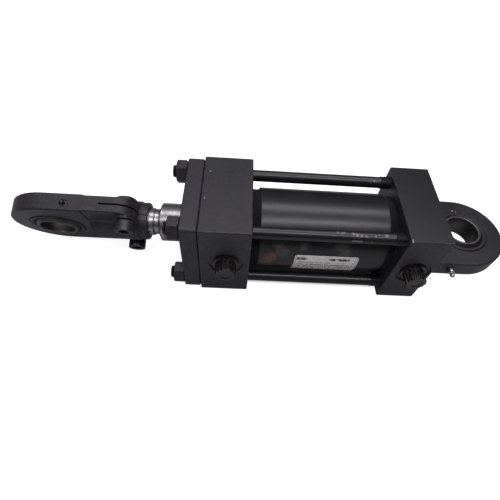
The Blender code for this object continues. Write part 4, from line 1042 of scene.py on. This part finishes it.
# %% Turn the rod and cut its thread
ROD_SECTION = [(-107, 0), (-107, 12), (-105.5, 13.5), (-68, 13.5), (-66.5, 12), (-63.5, 12), (-60.5, 18)]
ROD_SECTION += [(113.45, 18), (113.45, 12), (163.55, 12), (165.05, 10.5), (165.05, 0)]
ROD_PITCH = 2
section = divided(softened(ROD_SECTION, 0.3, False, 2), -76, -67.5, ROD_PITCH / 8)
thread = {"Pitch": ROD_PITCH * MM, "Thread Depth": 1.2 * MM, "Thread Above": 13 * MM}
thread.update({"Thread From": -104 * MM, "Thread To": -67.3 * MM})
rod_mesh = turned("rod", section, False, PLAIN_SIDES, rod_chrome, AXIS, **thread)
stand_for("rod", rod_mesh, "rod_chrome", "piston_rod")

# %% [markdown]
# ## Four tie rods and their nuts
# The tie rods are one part used four times, and so are the nuts. A second tree sets copies of a piece on
# the corners of a square. Copies could be made with an Array or by hand, but instances on points keep the
# spacing one named size.


# %% Build the corner tree
def corner_tree():
    """Sets four copies of a piece on a square across the cylinder's axis."""
    tree, graph, start = new_shape_tree("corners", {"Spacing": 1.0})
    spacing = start.other("Spacing")
    points = graph.add("GeometryNodeMeshGrid", None, {0: spacing, 1: spacing, 2: 2, 3: 2})
    upright = graph.add("GeometryNodeTransform", None, {"Geometry": points, "Rotation": (0, math.pi / 2, 0)})
    copies = graph.add("GeometryNodeInstanceOnPoints", None, {"Points": upright, "Instance": start})
    end_shape_tree(graph, copies, start.other("Material"))
    return tree


CORNERS = corner_tree()
CORNER_NAMES = ("top_front", "top_back", "bottom_front", "bottom_back")
TIE_ROD_SPACING = 68 * MM


def at_corners(name, mesh, material):
    """Four copies of a piece that was turned about the cylinder's axis."""
    lowered = mesh.copy()
    lowered.transform(Matrix.Translation((0, 0, -AXIS_HEIGHT)))
    made = run_tree(name, CORNERS, lowered, {"Spacing": TIE_ROD_SPACING, "Material": material})
    made.transform(Matrix.Translation((0, 0, AXIS_HEIGHT)))
    return made


print("corner nodes:", len(CORNERS.nodes))

# %% Make the tie rods
BAR_SECTION = [(-51.7, 0), (-51.7, 5.2), (-50.9, 6), (-17.7, 6), (-17.0, 5.35), (143.6, 5.35), (144.3, 6)]
BAR_SECTION += [(177.3, 6), (178, 5.35), (178, 0)]
BAR_PITCH = 1.25
section = divided(softened(BAR_SECTION, 0.2, False, 2), -51, -17, BAR_PITCH / 4)
section = divided(section, 144, 178, BAR_PITCH / 4)
thread = {"Pitch": BAR_PITCH * MM, "Thread Depth": 0.65 * MM, "Thread Above": 5.6 * MM}
thread.update({"Thread From": -51 * MM, "Thread To": 156 * MM})
bar = turned("tie_rod", section, False, THIN_SIDES, tie_rod_paint, AXIS, **thread)
bars_mesh = at_corners("tie_rods", bar, tie_rod_paint)
stand_for("tie_rods", bars_mesh, "black_paint", *["tie_rod_" + corner for corner in CORNER_NAMES])

# %% Make the nuts
NUT_SECTION = [(-48.3, 7.3), (-48.3, 9.3), (-47.4, 10.97), (-39.2, 10.97), (-38.3, 9.3), (-38.3, 6.3)]
NUT_SECTION += [(-47.3, 6.3)]
WRENCH_SIZE = 19 * MM
section = softened(NUT_SECTION, 0.15, True, 2)
nut = turned("nut", section, True, PLAIN_SIDES, black_paint, AXIS, **{"Across Flats": WRENCH_SIZE})
nuts_mesh = at_corners("tie_rod_nuts", nut, black_paint)
nut_nodes = ["tie_rod_nut_" + corner for corner in CORNER_NAMES]
stand_for("tie_rod_nuts", nuts_mesh, "black_paint", *nut_nodes)

# %% [markdown]
# ## Gland bush and wiper
# Inside the retainer plate a turned bush guides the rod, and a rubber wiper sits in its mouth. Both are
# rings, so they are turned like the tube, and their grooves come with their sections.

# %% Turn the gland and the wiper
GLAND_SECTION = [(-39.5, 23), (-38.5, 24), (-22.5, 24), (-22.5, 29.3), (-17.8, 29.3), (-17.8, 25.7)]
GLAND_SECTION += [(-11.3, 25.7), (-11.3, 18.3), (-33.2, 18.3), (-33.2, 22), (-38.2, 22), (-38.2, 19.6)]
GLAND_SECTION += [(-39.5, 19.6)]
section = softened(GLAND_SECTION, 0.25, True)
gland_mesh = turned("gland", section, True, PLAIN_SIDES, inner_iron, AXIS)
stand_for("gland", gland_mesh, "inner_iron", "gland_bush")
WIPER_SECTION = [(-33.5, 18.3), (-33.5, 21.7), (-37.9, 21.7), (-37.9, 20), (-39.2, 18.3)]
section = softened(WIPER_SECTION, 0.3, True)
wiper_mesh = turned("wiper", section, True, PLAIN_SIDES, seal_polymer, AXIS)
stand_for("wiper", wiper_mesh, "seal_polymer", "rod_wiper")

# %% [markdown]
# ## Two spherical bearings
# Each eye holds a ball-shaped inner ring in a hollow outer ring. The outer ring's faces carry a lip
# chamfer, and the inner ring stands proud on both sides. Balls and hollows could be cut from spheres with
# Booleans. Arcs in a half section give the same rings with clean edges, by the same lathe.


# %% Draw an arc
def arc_points(radius, start, end, steps):
    """(along, radius) points on a circle about the centre, angles in degrees from the ring's middle."""
    angles = [math.radians(start + (end - start) * step / steps) for step in range(steps + 1)]
    return [(radius * math.sin(angle), radius * math.cos(angle)) for angle in angles]


print("a half circle in six steps:", len(arc_points(1, -90, 90, 6)), "points")

# %% Turn both bearings
RING_HALF, RING_RADIUS, RING_LIP, RACE_RADIUS = 9, 23.5, 1.4, 20.7
BALL_HALF, BALL_RADIUS, BORE_RADIUS = 11, 20.35, 15
CHAMFER = 0.6
RACE_STEPS, BALL_STEPS = 24, 28


def bearing_rings(prefix, placing):
    """The outer ring with its hollow race, and the ball-shaped inner ring with its bore."""
    lip = RING_HALF - RING_LIP
    lip_angle = math.degrees(math.asin(lip / RACE_RADIUS))
    mouth = math.sqrt(RACE_RADIUS**2 - lip**2) + RING_LIP
    outer = [(-RING_HALF, mouth), (-RING_HALF, RING_RADIUS - CHAMFER), (CHAMFER - RING_HALF, RING_RADIUS)]
    outer += [(RING_HALF - CHAMFER, RING_RADIUS), (RING_HALF, RING_RADIUS - CHAMFER), (RING_HALF, mouth)]
    outer += arc_points(RACE_RADIUS, lip_angle, -lip_angle, RACE_STEPS)
    outer = softened(outer, 0.2, True, 2)
    outer_ring = turned(prefix + "_ring", outer, True, FINE_SIDES, bearing_steel, placing)
    face_angle = math.degrees(math.asin(BALL_HALF / BALL_RADIUS))
    inner = arc_points(BALL_RADIUS, -face_angle, face_angle, BALL_STEPS)
    inner += [(BALL_HALF, BORE_RADIUS + CHAMFER), (BALL_HALF - CHAMFER, BORE_RADIUS)]
    inner += [(CHAMFER - BALL_HALF, BORE_RADIUS), (-BALL_HALF, BORE_RADIUS + CHAMFER)]
    inner = softened(inner, 0.2, True, 2)
    inner_ring = turned(prefix + "_ball", inner, True, FINE_SIDES, ball_steel, placing)
    return outer_ring, inner_ring


CAP_EYE = Matrix.Translation((227.5 * MM, 0, AXIS_HEIGHT))
ROD_EYE = Matrix.Translation((-157.5 * MM, 0, AXIS_HEIGHT))
ROD_EYE = ROD_EYE @ Matrix.Rotation(math.radians(ROD_EYE_TURN), 4, "X")
for prefix, placing in (("cap_bearing", CAP_EYE), ("rod_eye_bearing", ROD_EYE)):
    outer_ring, ball = bearing_rings(prefix, placing)
    stand_for(prefix + "_ring", outer_ring, "bearing_steel", prefix + "_outer_ring")
    stand_for(prefix + "_ball", ball, "bearing_steel", prefix + "_inner_ring")

# %% [markdown]
# ## Grease nipples
# A ball-headed nipple stands in a round recess on the rim of each eye. It is turned in steel and zinc
# plated. Its ball is an arc in the section, not a sphere set on a stem, so that both are one piece. The
# cap's nipple is screwed in less far, and the rod eye's is dull with dirt.

# %% Turn the nipples
NIPPLE_SECTION = [(-3, 0), (-3, 1.2), (0, 1.2), (0, 2.9), (1.6, 2.9), (1.6, 1.5), (2.7, 1.5)]
NIPPLE_BALL_RADIUS, NIPPLE_BALL_PLACE = 2.1, 4.17
NIPPLE_PROUD = 4.6
arc = arc_points(NIPPLE_BALL_RADIUS, -44, 88, 11)
nipple_ball = [(NIPPLE_BALL_PLACE + along, across) for along, across in arc]
nipple_top = (NIPPLE_BALL_PLACE + NIPPLE_BALL_RADIUS, 0)
section = softened(NIPPLE_SECTION, 0.15, False, 2) + nipple_ball + [nipple_top]
proud_section = [(a + (NIPPLE_PROUD if a > 1 else 0), r) for a, r in section]
CAP_NIPPLE = Matrix.Translation((209 * MM, -37.2 * MM, AXIS_HEIGHT)) @ TOWARDS_FRONT
RIM_PLACE = Matrix.Translation((18.7 * MM, 36.7 * MM, 1 * MM))
ROD_EYE_NIPPLE = ROD_EYE @ RIM_PLACE @ Matrix.Rotation(math.radians(-90), 4, "X")
mesh = turned("cap_nipple", proud_section, False, SMALL_SIDES, nipple_zinc, CAP_NIPPLE)
stand_for("cap_nipple", mesh, "nipple_zinc", "cap_grease_nipple")
mesh = turned("rod_eye_nipple", section, False, THIN_SIDES, nipple_dull, ROD_EYE_NIPPLE)
stand_for("rod_eye_nipple", mesh, "nipple_zinc", "rod_eye_grease_nipple")

# %% [markdown]
# ## Port plugs
# Each port is closed by a ribbed transit plug: a stem in the bore, a flange on the chamfer, and a grip with
# fourteen ribs to turn it by. Ribs could be copied round it as bars of their own, but a mould makes them
# one with the grip, so the tree presses the grooves between them into the turned plug, and into the grip
# alone.

# %% Turn the plugs
PLUG_SECTION = [(34.5, 0), (34.5, 9.5), (35.2, 10.2), (42, 10.2), (43.5, 11.7), (45.4, 11.7), (45.4, 9.6)]
PLUG_SECTION += [(57, 8.8), (57, 6), (56.2, 5.2), (56.2, 0)]
PLUG_RIBS = 14
SIDES_TO_A_RIB = 16
PORTS = {"head": 1.25 * MM, "cap": 172.5 * MM}
section = softened(PLUG_SECTION, 0.35, False)
ribs = {"Ribs": PLUG_RIBS, "Rib Depth": 0.7 * MM, "Rib Above": 7 * MM}
ribs.update({"Rib From": 45.6 * MM, "Rib To": 58 * MM})
for name, along in PORTS.items():
    port = Matrix.Translation((along, 0, AXIS_HEIGHT)) @ TOWARDS_FRONT
    mesh = turned("port_plug", section, False, SIDES_TO_A_RIB * PLUG_RIBS, plug_plastic, port, **ribs)
    stand_for("transit_plug_" + name, mesh, "plug_plastic", "port_plug_" + name)

# %% [markdown]
# ## Clamp screws
# Two socket head screws squeeze the slit hub onto the thread. Their hexagon sockets are milled by the same
# rule as a nut's flats, only inwards of a given radius, and their knurled heads are ribbed like the plugs,
# much finer. A bump would do for the knurls from afar, but not for the outline of a head seen close by.

# %% Turn the clamp screws
SCREW_SECTION = [(-9.4, 0), (-9.4, 4.4), (-8.8, 5), (10.3, 5), (10.3, 8), (20.3, 8), (20.3, 5.2)]
SCREW_SECTION += [(19.8, 4.62), (19, 4.62), (17, 4.62), (15.3, 4.62), (15.3, 0)]
KNURLS = 44
SIDES_TO_A_KNURL = 6
SCREW_ALONG = 68.5 * MM
SCREW_PLACES = {"upper": 25.1 * MM, "lower": -25.1 * MM}
section = softened(SCREW_SECTION, 0.45, False)
milling = {"Across Flats": 8 * MM, "Mill Up To": 4.75 * MM}
knurling = {"Ribs": KNURLS, "Rib Depth": 0.16 * MM, "Rib Above": 7 * MM}
knurling.update({"Rib From": 11 * MM, "Rib To": 19.7 * MM})
for name, across in SCREW_PLACES.items():
    spot = ROD_EYE @ Matrix.Translation((SCREW_ALONG, across, 0))
    sides = SIDES_TO_A_KNURL * KNURLS
    mesh = turned("clamp_screw", section, False, sides, dark_steel, spot, **milling, **knurling)
    stand_for("socket_screw_" + name, mesh, "dark_steel", "clamp_screw_" + name)

# %% [markdown]
# ## Blocks and forged eyes
# The two heads, the retainer plate and the rod eye are forged or milled from one piece each. Their solids
# have the right form already, so a merged copy is taken: its flat faces are joined into single ones, every
# hard edge gets a small rounding, and the shading is weighted by area, which keeps flats flat and lets only
# edges turn.

# %% Copy the solids and round their edges
WELD_DISTANCE = 2e-6
FLAT_ANGLE = math.radians(0.6)
EDGE_ANGLE = math.radians(50)
EDGE_STEPS = 2


def eased_copy(name, slot, node, material, width):
    """A merged copy of a solid with its hard edges rounded by width, shown in the solid's place."""
    build = bmesh.new()
    build.from_mesh(frame["nodes"][node].data)
    bmesh.ops.remove_doubles(build, verts=build.verts, dist=WELD_DISTANCE)
    bmesh.ops.dissolve_limit(build, angle_limit=FLAT_ANGLE, verts=build.verts, edges=build.edges)
    mesh = bpy.data.meshes.new(name)
    build.to_mesh(mesh)
    build.free()
    mesh.materials.clear()
    mesh.materials.append(material)
    piece = stand_for(name, mesh, slot, node)
    bevel = piece.modifiers.new("edges", "BEVEL")
    bevel.width = width
    bevel.segments = EDGE_STEPS
    bevel.limit_method = "ANGLE"
    bevel.angle_limit = EDGE_ANGLE
    bevel.harden_normals = True
    piece.modifiers.new("weights", "WEIGHTED_NORMAL").keep_sharp = True


eased_copy("head_block", "black_paint", "rod_end_head", head_paint, 0.3 * MM)
eased_copy("retainer", "black_paint", "retainer_plate", retainer_paint, 0.3 * MM)
eased_copy("cap_block", "black_paint", "cap_with_eye", cap_paint, 0.3 * MM)
eased_copy("rod_eye", "black_paint", "rod_eye_body", forged_paint, 0.4 * MM)

# %% [markdown] ## The end of the script The dressed model has to keep the solids' box.
